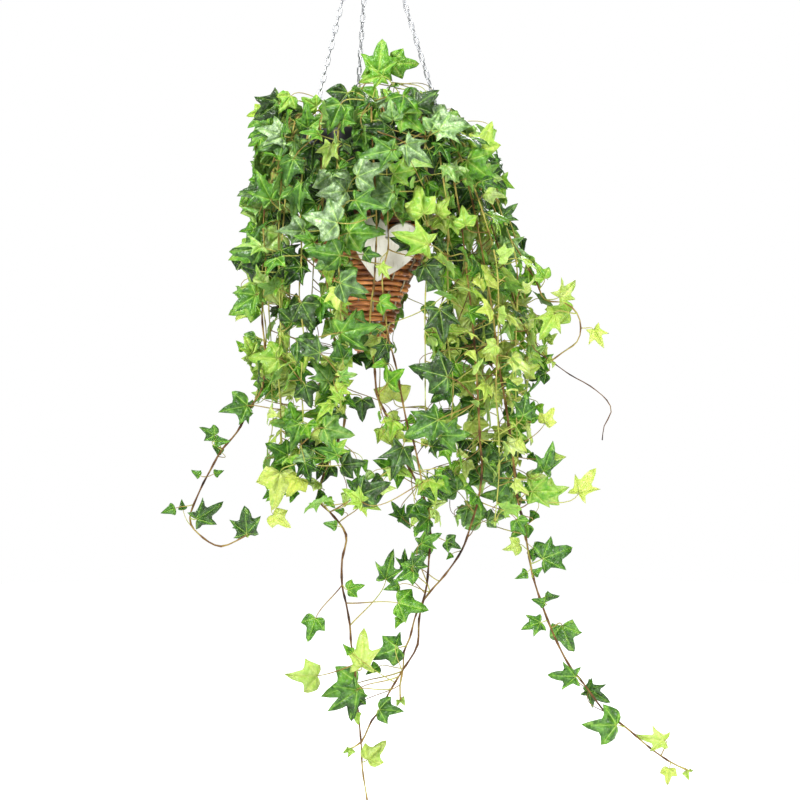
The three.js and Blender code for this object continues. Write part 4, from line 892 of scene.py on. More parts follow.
# Where the leaves between are lighter or darker than the rest: across, down, reach, and tone in hundredths
TONE_PATCHES = [
    (470, 300, 70, 68), (510, 300, 60, 76), (545, 290, 44, 82), (515, 330, 40, 84), (500, 370, 70, 76),
    (480, 410, 50, 80), (520, 430, 50, 66), (460, 440, 40, 56), (310, 325, 26, 42), (310, 400, 40, 60),
    (450, 205, 34, 66), (490, 225, 26, 60), (442, 262, 14, 75), (456, 286, 16, 70), (340, 390, 30, 66),
    (336, 305, 18, 60), (245, 315, 40, 72), (270, 290, 18, 55), (265, 350, 34, 64), (385, 385, 38, 95),
    (370, 430, 34, 55), (400, 440, 38, 55), (270, 440, 36, 58), (310, 370, 30, 58), (300, 430, 30, 50),
    (540, 480, 44, 60), (370, 150, 60, 20), (290, 255, 24, 12), (440, 175, 24, 14), (455, 255, 14, 12),
    (514, 212, 30, 55), (240, 150, 40, 42), (238, 205, 30, 40), (430, 330, 20, 16), (440, 378, 20, 18),
    (360, 485, 26, 20),
]

chance = random.Random(29)
own_draw = chance.uniform


def spot_of(point):
    """The spot of the front view where a point shows."""
    x, z = seen_from_front(point)
    return VIEW_LEFT + x / STEP, VIEW_TOP - z / STEP


def at_spot(across, down, y):
    """The point at a depth that shows at a spot of the front view."""
    far = 1 + y / VIEW.distance
    x, z = (across - VIEW_LEFT) * STEP, (VIEW_TOP - down) * STEP
    return (VIEW.x + (x - VIEW.x) * far, y, VIEW.z + (z - VIEW.z) * far)


def spots_of_gaps():
    spots = set()
    for x, y, wide, tall in GAPS:
        for across in range(x - wide, x + wide + 1):
            for down in range(y - tall, y + tall + 1):
                if ((across - x) / wide) ** 2 + ((down - y) / tall) ** 2 < 1:
                    spots.add((across, down))
    return spots


gap_spots = spots_of_gaps()


def is_in_gap(across, down):
    return (round(across), round(down)) in gap_spots


def is_allowed(leaf):
    """True if the leaf stays in the foliage's outline and out of its gaps."""
    for x, y in whole_outline(PLAIN_OUTLINES[leaf.form]) + [(0.15, 0.3), (-0.15, 0.3), (0, 0.6)]:
        point = blade_point(leaf, x, y)
        if not is_in_foliage(point) or is_in_gap(*spot_of(point)):
            return False
    return True


def is_leafy(stem, height, lowest):
    """Whether a stem bears leaves of its own at a height."""
    if height <= max(stem.leaf_above, lowest):
        return False
    return height < stem.leaf_below or height > CONE_TOP + 30


def gather_starts(lowest):
    """Places on the stems that a stalk can come from."""
    found = [
        (place, stem) for stem in stems for place in stem.path
        if (place[2] > SOIL_TOP + 4 or hypot(*place[:2]) > POT.rim) and is_leafy(stem, place[2], lowest)
    ]
    return SimpleNamespace(places=np.array([place for place, _ in found]), stems=[stem for _, stem in found])


def gaps_crossed(start, leaf):
    """How many of five places along a straight stalk would show in the gaps."""
    return sum(is_in_gap(*spot_of(lerp(start, leaf.base, share))) for share in (0.15, 0.35, 0.55, 0.75, 0.95))


def find_start(leaf, starts, longest):
    """A near place on a stem that the stalk can come from without folding back or crossing a gap."""
    long, ahead = reach_of(leaf, starts.places)
    cost = long * (1.5 - ahead)
    cost[(long > longest) | (long < 8) | (ahead < 0)] = np.inf
    nearest = [int(i) for i in cost.argsort()[:24] if np.isfinite(cost[i])]
    if not nearest:
        return None
    best = min(nearest, key=lambda i: cost[i] * (1 + gaps_crossed(starts.places[i], leaf)))
    return starts.stems[best], tuple(float(part) for part in starts.places[best])


def settle_fine(leaf, stem, start, ease):
    """A leaf of the scene's own goes in if its blade and stalk have room."""
    leaf.start = start
    leaf.away = unit(sub(leaf.base, start))
    if leaf.form == "five" and chance.random() < 0.6:
        leaf.edge = "narrow"
    steps = max(1, int(norm(sub(leaf.base, start)) / 6))
    stalk = [lerp(start, leaf.base, k / steps) for k in range(2, steps)]
    if not has_room(leaf, stalk, STEM.keep_out * 0.5, ease):
        return False
    return take_room(leaf, stem, stalk, 1.0, max(ease, 0.6))


CROWN_FOOT = OVER_RIM.end - 20
FRONT_SHIFTS = [0, -8, 8, -16, 16, -26, 26, -38, 38, -52, 52, 68, 84, 100, 120, 140, 165, 190]
FRONT_EASES = (0.75, 0.55, 0.4)
FRONT_RADIUS = 168
FRONT_TOP = -430
FURTHEST_FRONT = -226

# How leaves are hung over what can be seen through: the side's azimuth, how close they may come, and tries
FILLS = [
    (-90, 0.6, 12), (-90, 0.45, 10), (-90, 0.33, 8), (90, 0.6, 14), (0, 0.7, 5), (180, 0.7, 5), (90, 0.4, 12),
    (50, 0.5, 8), (130, 0.5, 8),
]
FILLED_WIDE = (-240, 320)
FILLED_TALL = (-1060, -330)


def surface_at(across, height):
    """How far out the foliage reaches towards a side, at a distance from the axis across and a height."""
    edge = FRONT_RADIUS - max(0, height - FRONT_TOP) * 1.25
    return sqrt(max(0, edge * edge - across * across))


def place_shown_leaf(starts, across, down, tip_across, tip_down, tone, painted_sheen):
    """A leaf between two spots of the front view, at the nearest depth with room and a stem in reach."""
    lean, roll, nod = own_draw(-0.3, 0.15), own_draw(-0.25, 0.25), own_draw(0, 0.35)
    cup, droop, three = own_draw(-0.05, 0.22), own_draw(0, 0.22), own_draw(0, 1)
    front = -surface_at((across - VIEW_LEFT) * STEP, (VIEW_TOP - down) * STEP)
    for ease in FRONT_EASES:
        for y in (front + shift for shift in FRONT_SHIFTS):
            if y < FURTHEST_FRONT + 8:
                continue
            base = at_spot(across, down, y)
            flat = norm(sub(at_spot(tip_across, tip_down, y), base))
            end = at_spot(tip_across, tip_down, max(FURTHEST_FRONT, y + lean * flat))
            tip = unit(sub(end, base))
            face = add(add((0, -1, 0), cross(tip, (0, -1, 0)), roll), (0, 0, 1), nod)
            long = norm(sub(end, base))
            leaf = make_leaf(base, tip, face, long, tone / 100, cup, droop, three, painted_sheen / 100)
            found = find_start(leaf, starts, 105)
            if found and settle_fine(leaf, *found, ease):
                return


class Cover:
    """What the leaves hide as seen from one side, in small squares of the view."""

    SQUARE = 6

    def __init__(self, azimuth):
        turn = radians(azimuth)
        self.is_front = azimuth == -90
        self.out = (cos(turn), sin(turn), 0)
        self.across = (-sin(turn), cos(turn), 0)
        self.hidden = set()
        for stem in stems:
            for leaf in stem.leaves:
                self.hide(leaf)

    def hide(self, leaf):
        for x, y, z in blade_balls(leaf)[0]:
            if self.is_front:
                u, v = seen_from_front((x, y, z))
            else:
                u, v = x * self.across[0] + y * self.across[1], z
            self.hidden.add((int(u // self.SQUARE), int(v // self.SQUARE)))

    def point(self, u, v, near):
        """The point at a distance in front of the axis that shows at a place of the view."""
        if self.is_front:
            return at_spot(VIEW_LEFT + u / STEP, VIEW_TOP - v / STEP, -near)
        return add(add((0, 0, v), self.across, u), self.out, near)

    def leaf(self, u, v, near):
        """A leaf that hangs over a place of the view."""
        crown = v > CROWN_FOOT
        turn = radians(chance.gauss(-90 + 0.28 * u, 60 if crown else 48))
        grown = own_draw(0, 1) ** 0.8
        long = 24 + 34 * grown if crown else (22 + 30 * grown) * (1.1 + (v + 450) / 1800)
        tip = add(scaled(self.across, cos(turn)), self.out, own_draw(-0.1, 0.45))
        tip = unit(add(tip, (0, 0, 1), sin(turn)))
        face = add(add(self.out, self.across, own_draw(-0.45, 0.45)), (0, 0, 1), own_draw(0, 0.7))
        base = add(self.point(u, v, near), tip, -0.45 * long)
        form = [own_draw(*ends) for ends in ((0, 1), (-0.08, 0.22), (0, 0.22), (0, 1))]
        return make_leaf(base, tip, face, long, *form)


def is_wanted(u, v, is_front):
    """Whether leaves should hide a place of a view: less and less of it further down."""
    patches = sin(0.05 * u + 1) * sin(0.037 * v) + 0.5 * sin(0.09 * u - 0.06 * v)
    return patches > (-1.6 - (v + 750) / 190 if is_front else -1.6 - (v + 400) / 230)


def fill_side(azimuth, starts, ease, tries):
    """Hangs leaves over what can still be seen through from one side."""
    cover = Cover(azimuth)
    size = cover.SQUARE
    wide, tall = (range(low // size, high // size) for low, high in (FILLED_WIDE, FILLED_TALL))
    squares = [(i, j) for i in wide for j in tall]
    chance.shuffle(squares)
    for square in squares:
        u, v = (square[0] + 0.5) * size, (square[1] + 0.5) * size
        if square in cover.hidden or not is_wanted(u, v, cover.is_front):
            continue
        surface = surface_at(u, v)
        if not any(is_in_foliage(cover.point(u, v, near)) for near in (max(surface, 20), 0)):
            continue
        for _ in range(tries):
            leaf = cover.leaf(u, v, surface + own_draw(-76, -6 if cover.is_front else 30))
            if cover.out[1] > 0.1 and leaf.base[1] < 20:
                continue
            found = find_start(leaf, starts, 95) if is_allowed(leaf) else None
            if found and gaps_crossed(found[1], leaf) < 2 and settle_fine(leaf, *found, ease):
                cover.hide(leaf)
                break


def grow_inner_leaf(stem, place, along, ease, tries):
    """A leaf on any place of a stem, which fills the plant's inside."""
    mix = frame_at(place, chance.choice((-1, 1)))
    crown = stem.crown or place[2] > CROWN_FOOT
    for _ in range(tries):
        away, tip, face = draw_ways("own_crown" if crown else "own_curtain", mix, own_draw)
        grown = own_draw(34, 54) if crown else own_draw(0.7, 1.15) * (46 - 18 * along)
        reach = own_draw(18, 62) if crown else own_draw(12, 44)
        form = [own_draw(*ends) for ends in ((0, 1), (-0.12, 0.2), (0, 0.22), (0, 1))]
        leaf = make_leaf(add(place, away, reach), tip, face, grown, *form)
        if dot(away, leaf.tip) > 0.2 and is_allowed(leaf) and not gaps_crossed(place, leaf):
            if settle_fine(leaf, stem, place, ease):
                return


def grow_inner_leaves(ease, tries):
    for stem in stems:
        for i, place in enumerate(stem.path):
            if i % 2 and is_leafy(stem, place[2], LOWEST_LEAF):
                grow_inner_leaf(stem, place, i / len(stem.path), ease, tries)


def grow_scene_leaves():
    anywhere = gather_starts(ANY_HEIGHT)
    for row in SHOWN_LEAVES:
        place_shown_leaf(anywhere, *row)
    starts = gather_starts(LOWEST_LEAF)
    for azimuth, ease, tries in FILLS:
        fill_side(azimuth, starts, ease, tries)
    grow_inner_leaves(0.8, 4)


grow_scene_leaves()

# Node trees


class Value:
    """An output of a node, with Python's own operators for numbers. Its node's other outputs are items."""

    def __init__(self, tree, socket):
        self.tree = tree
        self.socket = socket

    def __getitem__(self, output):
        return Value(self.tree, self.socket.node.outputs[output])

    def math(self, operation, *values):
        return self.tree.node("ShaderNodeMath", dict(enumerate(values)), operation=operation)

    def __add__(self, other):
        return self.math("ADD", self, other)

    def __sub__(self, other):
        return self.math("SUBTRACT", self, other)

    def __mul__(self, other):
        return self.math("MULTIPLY", self, other)

    def __truediv__(self, other):
        return self.math("DIVIDE", self, other)

    def __rsub__(self, other):
        return self.math("SUBTRACT", other, self)

    def __abs__(self):
        return self.math("ABSOLUTE", self)

    __radd__ = __add__
    __rmul__ = __mul__

    def lesser(self, other):
        return self.math("MINIMUM", self, other)

    def greater(self, other):
        return self.math("MAXIMUM", self, other)

    def step(self, low, high):
        """0 below low and 1 above high, smooth between; the other way round where low is above high."""
        flip = low > high
        low, high = sorted((low, high))
        inputs = {"Value": self, "From Min": low, "From Max": high}
        smooth = self.tree.node("ShaderNodeMapRange", inputs, interpolation_type="SMOOTHSTEP")
        return 1 - smooth if flip else smooth


class Tree:
    """Adds nodes to a material or to a Geometry Nodes tree."""

    def __init__(self, tree):
        self.tree = tree

    def node(self, kind, inputs=None, stops=(), **settings):
        """A node of a type: settings and a ramp's stops are set first, then its sockets' values or links."""
        made = self.tree.nodes.new(kind)
        for name, value in settings.items():
            setattr(made, name, value)
        if stops:
            elements = made.color_ramp.elements
            while len(elements) < len(stops):
                elements.new(1)
            for element, (place, colour) in zip(elements, stops):
                element.position, element.color = place, (*colour, 1)
        for name, value in (inputs or {}).items():
            socket = made.inputs[name]
            if isinstance(value, Value):
                self.tree.links.new(value.socket, socket)
            else:
                socket.default_value = value
        return Value(self, made.outputs[0]) if made.outputs else None

    def ramp(self, factor, stops):
        return self.node("ShaderNodeValToRGB", {"Fac": factor}, stops)

    def blend(self, share, low, high):
        """One colour into another by a share."""
        low, high = ((*side, 1) if isinstance(side, tuple) else side for side in (low, high))
        return self.node("ShaderNodeMix", {0: share, 6: low, 7: high}, data_type="RGBA")[2]

    def noise(self, where, scale, detail=3, roughness=0.5):
        inputs = {"Vector": where, "Scale": scale, "Detail": detail, "Roughness": roughness}
        return self.node("ShaderNodeTexNoise", inputs)

    def stretched(self, where, scale, turn=(0, 0, 0)):
        return self.node("ShaderNodeMapping", {"Vector": where, "Scale": scale, "Rotation": turn})

    def place(self):
        return self.node("ShaderNodeTexCoord")["Object"]

    def attribute(self, name, output="Fac"):
        return self.node("ShaderNodeAttribute", attribute_name=name)[output]

    def vector(self, *parts):
        return self.node("ShaderNodeCombineXYZ", dict(enumerate(parts)))

    def parts(self, vector):
        split = self.node("ShaderNodeSeparateXYZ", {0: vector})
        return split, split[1], split[2]


def srgb(red, green, blue):
    """A colour as it looks on a screen, 0 to 255, turned to light."""
    def to_light(part):
        part /= 255
        return part / 12.92 if part <= 0.04045 else ((part + 0.055) / 1.055) ** 2.4
    return to_light(red), to_light(green), to_light(blue)


def finish(name, make):
    """A material. make adds its nodes and gives the surface's sockets, and its relief's height and depth."""
    material = bpy.data.materials.new(name)
    material.use_nodes = True
    material.node_tree.nodes.clear()
    tree = Tree(material.node_tree)
    sockets, height, depth = make(tree)
    if height is not None:
        bump = {"Height": height, "Strength": 1.0, "Distance": depth}
        sockets["Normal"] = tree.node("ShaderNodeBump", bump)
    tree.node("ShaderNodeOutputMaterial", {"Surface": tree.node("ShaderNodeBsdfPrincipled", sockets)})
    return material


# Finishes

VEIN_WAYS = [((0, 1), 1.0), ((0.733, 0.680), 0.76), ((0.965, -0.263), 0.46)]


def leaf_finish(tree):
    """Ivy leaf: tone by leaf, thin pale veins in a lighter zone, painted whitish highlights, a paler
    underside.
    """
    u, v, _ = tree.parts(tree.node("ShaderNodeUVMap", uv_map="leaf"))
    look = tree.attribute("look", "Color")
    tone, painted_sheen, under = tree.parts(look)
    kind = look["Alpha"]
    across = abs(u - 1.0)
    up = v - 0.5
    side = (u - 1.0).step(-0.002, 0.002)
    where = tree.vector(across + kind * 7, up + side * 3, kind * 31)
    veins = zone = None
    for (x, y), long in VEIN_WAYS:
        off = abs(across * y - up * x)
        ahead = across * x + up * y
        width = 0.0115 * (1.1 - ahead / long).greater(0.15)
        started = ahead.step(-0.01, 0.01)
        line = (off / width).step(1.7, 0.4) * started
        near = (off / 0.085).step(1.0, 0.0) * started
        veins = line if veins is None else veins.greater(line)
        zone = near if zone is None else zone.greater(near)
    cells = tree.node("ShaderNodeTexVoronoi", {"Vector": where, "Scale": 11}, feature="DISTANCE_TO_EDGE")
    net = cells.step(0.05, 0.0)
    blotch = tree.noise(where, 3.2, 4)
    grain = tree.noise(tree.place(), 700, 2, 0.6)
    crumple = tree.noise(tree.place(), 130, 2)
    share = tone + (blotch - 0.5) * 0.5 + (crumple - 0.5) * 0.4 + zone * 0.13 - 0.05
    deep = tree.ramp(share, [
        (0.0, srgb(12, 38, 4)), (0.2, srgb(38, 84, 10)), (0.4, srgb(80, 134, 20)), (0.65, srgb(136, 166, 58)),
        (1.0, srgb(170, 180, 72)),
    ])
    between = cells.step(0.0, 0.22)
    # Painted highlight: whitish patches, strongest on the domes between the net's veins, stand for the lamps'
    # reflection.
    painted_sheen_share = painted_sheen * (0.3 + 0.8 * blotch.step(0.38, 0.64)) * (0.5 + 0.5 * between)
    painted_sheen_share = painted_sheen_share * (0.4 + 0.6 * crumple.step(0.3, 0.65))
    with_painted_sheen = tree.blend(painted_sheen_share.lesser(1.0) * 0.74, deep, srgb(194, 214, 172))
    netted = tree.blend(net * 0.16, with_painted_sheen, srgb(140, 170, 60))
    veined = tree.blend(veins * (0.42 + 0.3 * tone), netted, srgb(170, 194, 100))
    matt = tree.blend(0.5, veined, srgb(126, 168, 76))
    colour = tree.blend(under, veined, matt)
    height = 0.5 * (1 - zone) - 0.12 * veins - 0.04 * net + 1.8 * crumple + 0.06 * grain
    return {
        "Base Color": colour,
        "Roughness": 0.2 + 0.12 * blotch + 0.2 * under + 0.1 * painted_sheen,
        "Specular IOR Level": 0.27,
        "Subsurface Weight": 0.3,
        "Subsurface Radius": (0.8, 1.0, 0.3),
        "Subsurface Scale": 0.0012,
    }, height, 0.0022


def stem_finish(tree):
    """Stems and stalks: olive green when young, red-brown when old, all with fine dark marks and a rough
    skin.
    """
    age, _, _ = tree.parts(tree.attribute("look", "Color"))
    where = tree.place()
    fine = tree.noise(tree.stretched(where, (1, 1, 0.35)), 700, 4)
    patch = tree.noise(where, 60, 3)
    stretch = tree.noise(where, 17, 2)
    colour = tree.ramp(age + (patch - 0.5) * 0.6 + (stretch - 0.5) * 0.9, [
        (0.0, srgb(150, 164, 74)), (0.3, srgb(154, 150, 76)), (0.5, srgb(130, 108, 54)),
        (0.7, srgb(88, 60, 32)), (1.0, srgb(34, 24, 16)),
    ])
    marked = tree.blend(fine.step(0.5, 0.75) * 0.35, colour, srgb(60, 42, 32))
    return {"Base Color": marked, "Roughness": 0.55 + 0.25 * fine, "Specular IOR Level": 0.15}, fine, 0.0004


def twig_finish(light, dark, shine):
    """Twigs: streaks along each twig from dark to light, paler and darker patches, knots, a dull shine."""
    def make(tree):
        x, y, _ = tree.parts(tree.attribute("skin", "Vector"))
        along, twig = tree.attribute("along"), tree.attribute("twig")
        skin = tree.vector(x + twig * 5.3, y, along * 16)
        streak = tree.noise(skin, 3.2, 5, 0.6)
        patch = tree.noise(tree.vector(twig * 3.1, along * 9, x * 0.3), 2.2, 2)
        knots = tree.noise(skin, 1.1, 2).step(0.66, 0.74)
        # Streaks from the dark colour to the light one, which on the willow is partly painted highlight.
        mixed = tree.blend(streak.step(0.32, 0.68), dark, light)
        # Paler patches still: painted highlight.
        pale = tree.blend(patch.step(0.5, 0.3) * 0.5, mixed, tuple(min(1, 1.5 * part) for part in light))
        # Darker patches: painted shade.
        with_painted_shade = tree.blend(patch.step(0.45, 0.65) * 0.75, pale, tuple(0.4 * part for part in dark))
        knotted = tree.blend(knots * 0.6, with_painted_shade, srgb(58, 32, 22))
        height = streak * 0.6 + knots * 0.8
        return {"Base Color": knotted, "Roughness": shine + 0.25 * streak}, height, 0.0008
    return make


def steel_finish(tree):
    """Bright galvanised wire, with faint dull patches."""
    where = tree.place()
    patch = tree.noise(where, 240, 4)
    colour = tree.ramp(patch, [(0.35, srgb(132, 134, 138)), (0.7, srgb(206, 208, 210))])
    return {"Base Color": colour, "Metallic": 1.0, "Roughness": 0.3 + 0.2 * patch}, patch, 0.0001


def plastic_finish(tree):
    """Black moulded plastic, slightly dusty."""
    where = tree.place()
    dust = tree.noise(where, 35, 5)
    grain = tree.noise(where, 1400, 2)
    colour = tree.blend(dust.step(0.5, 0.8) * 0.3, srgb(24, 25, 27), srgb(78, 74, 68))
    return {"Base Color": colour, "Roughness": 0.42 + 0.3 * dust}, grain, 0.0001


def soil_finish(tree):
    """Damp peat, with pale grains."""
    where = tree.place()
    crumb = tree.noise(where, 260, 6, 0.65)
    clod = tree.noise(where, 55, 4)
    colour = tree.ramp(crumb, [(0.3, srgb(28, 20, 15)), (0.55, srgb(62, 44, 31)), (0.8, srgb(112, 88, 64))])
    return {"Base Color": colour, "Roughness": 0.92}, crumb + clod, 0.003


def plaque_finish(tree):
    """Whitewashed board: upright grain that shows through thin paint, and worn edges."""
    where = tree.place()
    upright = tree.stretched(where, (1, 0.3, 0.06), (0, -radians(PLAQUE.turn), 0))
    grain = tree.noise(upright, 420, 5, 0.6)
    wash = tree.noise(where, 38, 4)
    paint = tree.blend(wash.step(0.35, 0.7), srgb(216, 212, 201), srgb(194, 188, 172))
    streaked = tree.blend(grain.step(0.54, 0.72) * 0.55, paint, srgb(140, 128, 106))
    worn = tree.blend(tree.attribute("worn") * (0.4 + 0.6 * wash), streaked, srgb(142, 112, 80))
    return {"Base Color": worn, "Roughness": 0.72}, grain, 0.0006


def floor_finish(tree):
    cloud = tree.noise(tree.place(), 1.5, 2)
    colour = tree.ramp(cloud, [(0.3, (0.88, 0.88, 0.88)), (0.7, (0.91, 0.91, 0.91))])
    glow = {"Emission Color": (1, 1, 1, 1), "Emission Strength": 0.45}
    return {"Base Color": colour, "Roughness": 0.9, "Specular IOR Level": 0.1, **glow}, None, 0


FINISHES = {
    "leaf": finish("ivy_leaf", leaf_finish),
    "stem": finish("ivy_stem", stem_finish),
    # The willows' light colours are partly painted highlight; their paler and darker patches are painted
    # highlight and painted shade.
    "wicker": finish("red_willow", twig_finish(srgb(224, 146, 78), srgb(120, 56, 24), 0.3)),
    "rim": finish("dark_willow", twig_finish(srgb(172, 104, 60), srgb(80, 42, 26), 0.28)),
    "stake": finish("pale_stake", twig_finish(srgb(190, 180, 150), srgb(130, 112, 84), 0.5)),
    "steel": finish("bright_wire", steel_finish),
    "plastic": finish("black_plastic", plastic_finish),
    "soil": finish("damp_peat", soil_finish),
    "plaque": finish("whitewash", plaque_finish),
    "floor": finish("pale_floor", floor_finish),
}

# Meshes


def add_object(name, data):
    made = bpy.data.objects.new(name, data)
    bpy.context.scene.collection.objects.link(made)
    return made


def add_piece(name, mesh, nodes, finishes=()):
    """Puts a mesh into the scene as a piece that rides with the part."""
    mesh.name = name
    for made in finishes:
        mesh.materials.append(FINISHES[made])
    piece = add_object(name, mesh)
    if nodes:
        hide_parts(*nodes)
    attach(piece, "root")


def baked(carrier):
    """The plain mesh that an object's modifiers, or its curve, make of it. The object itself goes."""
    depsgraph = bpy.context.evaluated_depsgraph_get()
    mesh = bpy.data.meshes.new_from_object(carrier.evaluated_get(depsgraph), depsgraph=depsgraph)
    carrier.modifiers.clear()
    bpy.data.objects.remove(carrier)
    return mesh


class Growth:
    """Collects a stem's vertices and faces, with each vertex's place on its leaf and its look."""

    def __init__(self):
        self.points, self.leaf_places, self.looks = [], [], []
        self.faces, self.finishes = [], []
        self.count = 0

    def add(self, points, faces, finish_number, leaf_places, looks):
        self.points.append(np.asarray(points, float))
        self.faces.extend([tuple(self.count + corner for corner in face) for face in faces])
        self.finishes.extend([finish_number] * len(faces))
        self.leaf_places.append(np.broadcast_to(np.asarray(leaf_places, float), (len(points), 2)))
        self.looks.append(np.broadcast_to(np.asarray(looks, float), (len(points), 4)))
        self.count += len(points)

    def mesh(self):
        mesh = bpy.data.meshes.new("stem")
        mesh.from_pydata((np.vstack(self.points) * MM).tolist(), [], self.faces)
        mesh.polygons.foreach_set("material_index", self.finishes)
        mesh.polygons.foreach_set("use_smooth", [True] * len(self.faces))
        corners = np.zeros(len(mesh.loops), int)
        mesh.loops.foreach_get("vertex_index", corners)
        leaf_places = np.vstack(self.leaf_places)[corners]
        mesh.uv_layers.new(name="leaf").data.foreach_set("uv", leaf_places.ravel())
        look = mesh.attributes.new("look", "FLOAT_COLOR", "POINT")
        look.data.foreach_set("color", np.vstack(self.looks).ravel())
        mesh.update()
        return mesh


def tube_faces(count, sides):
    """Faces of a closed tube of rings, with a point at each end."""
    faces = []
    for i in range(count - 1):
        for k in range(sides):
            a, b = i * sides + k, i * sides + (k + 1) % sides
            faces.append((a, b, b + sides, a + sides))
    start, last = count * sides, (count - 1) * sides
    for k in range(sides):
        faces.append((start, (k + 1) % sides, k))
        faces.append((start + 1, last + k, last + (k + 1) % sides))
    return faces


def add_tube(growth, path, radii, sides, ages):
    rings = rings_along(path, sides, lambda i: radii[i])
    points = [corner for ring in rings for corner in ring]
    points.append(add(path[0], unit(sub(path[0], path[1])), radii[0] * 0.5))
    points.append(add(path[-1], unit(sub(path[-1], path[-2])), radii[-1] * 0.8))
    looks = np.zeros((len(points), 4))
    looks[:, 0] = np.append(np.repeat(ages, sides), (ages[0], ages[-1]))
    growth.add(points, tube_faces(len(path), sides), 1, (1.0, 0.5), looks)


# The right half of each leaf's edge, from the stalk to the tip, for a leaf of length 1
LEAF_EDGES = {
    "five": [
        (0.018, 0.0), (0.12, -0.09), (0.28, -0.145), (0.45, -0.14), (0.4, -0.02), (0.355, 0.11),
        (0.41, 0.25), (0.49, 0.4), (0.57, 0.53), (0.44, 0.525), (0.31, 0.485), (0.22, 0.52), (0.185, 0.67),
        (0.12, 0.85), (0, 1),
    ],
    "three": [
        (0.018, 0.0), (0.1, -0.06), (0.22, -0.1), (0.34, -0.09), (0.41, -0.01), (0.45, 0.08), (0.49, 0.18),
        (0.52, 0.27), (0.55, 0.38), (0.42, 0.405), (0.3, 0.42), (0.21, 0.48), (0.175, 0.63), (0.11, 0.83),
        (0, 1),
    ],
    "young": [
        (0.035, 0.0), (0.1, -0.02), (0.19, -0.01), (0.28, 0.02), (0.33, 0.05), (0.36, 0.08), (0.385, 0.11),
        (0.4, 0.14), (0.41, 0.18), (0.34, 0.27), (0.28, 0.37), (0.235, 0.48), (0.18, 0.64), (0.11, 0.82),
        (0, 1),
    ],
    "narrow": [
        (0.018, 0.0), (0.09, -0.07), (0.21, -0.13), (0.34, -0.17), (0.315, -0.05), (0.255, 0.07),
        (0.31, 0.19), (0.42, 0.35), (0.53, 0.5), (0.39, 0.47), (0.26, 0.42), (0.175, 0.46), (0.155, 0.62),
        (0.095, 0.82), (0, 1),
    ],
}
LEAF_RINGS = np.array([0.36, 0.72, 1.0])
LEAF_THICK = 0.45
EDGE_COUNT = 29
LOBE_TIPS = (3, 8, 14, 20, 25)


def puff_by_ray():
    """How much the blade swells at each ray: 0 on a main vein and 1 halfway between two."""
    stops = (-1,) + LOBE_TIPS + (EDGE_COUNT,)
    swell = np.zeros(EDGE_COUNT)
    for low, high in zip(stops, stops[1:]):
        for k in range(max(low, 0), min(high + 1, EDGE_COUNT)):
            swell[k] = sin(pi * (k - low) / (high - low)) ** 2
    return swell


PUFF = puff_by_ray()


def blade_faces():
    """Faces of both sides of a blade and of its margin. Each side is a middle point, then the rings."""
    side_count = 1 + EDGE_COUNT * len(LEAF_RINGS)
    inner = range(len(LEAF_RINGS) - 1)
    top = []
    for k in range(EDGE_COUNT - 1):
        top.append((0, 1 + k, 2 + k))
        for ring in inner:
            a = 1 + ring * EDGE_COUNT + k
            b = a + EDGE_COUNT
            top.append((a, b, b + 1, a + 1))
    under = [tuple(side_count + corner for corner in reversed(face)) for face in top]
    right = [0] + [1 + ring * EDGE_COUNT for ring in inner]
    left = [EDGE_COUNT * (ring + 1) for ring in reversed(inner)]
    edge = right + list(range(side_count - EDGE_COUNT, side_count)) + left
    margin = [(side_count + a, side_count + b, b, a) for a, b in zip(edge, edge[1:] + edge[:1])]
    return top + under + margin


BLADE_FACES = blade_faces()
PLACE_ON_LEAF = np.array(whole_outline(LEAF_EDGES["five"]))


def tone_of(leaf):
    """Tone and painted highlight: the leaf's own where it shows one by one, else those of its part of the
    plant.
    """
    if leaf.painted_sheen is not None:
        return leaf.tone * (0.65 + 0.35 * leaf.tone), leaf.painted_sheen
    middle = blade_point(leaf, 0, 0.5)
    across, down = spot_of(middle)
    tone = 0.22 + 0.16 * clamp((-560 - middle[2]) / 300)
    for x, y, reach, patch_tone in TONE_PATCHES:
        share = max(0, 1 - hypot(across - x, down - y) / reach)
        # Leaves further back take only 0.3 of a patch's tone, so behind the light patches they stay darker:
        # painted shade between the front leaves.
        tone += (patch_tone / 100 - tone) * min(1, 2 * share) * (1 if middle[1] < -95 else 0.3)
    # Low leaves further back are made lighter: painted light, for light that comes through the curtain to
    # leaves in its shade.
    tone += 0.12 * clamp((-560 - middle[2]) / 200) * clamp((middle[1] + 140) / 120)
    luck = leaf.tone - 0.5
    own = tone + (0.5 + tone) * luck
    # Painted highlight: more on leaves with a high draw, and on the lightest ones.
    return min(0.9, max(0.03, own)), max(0, 3 * luck * abs(luck)) + 0.4 * max(0, min(1, own) - 0.6)


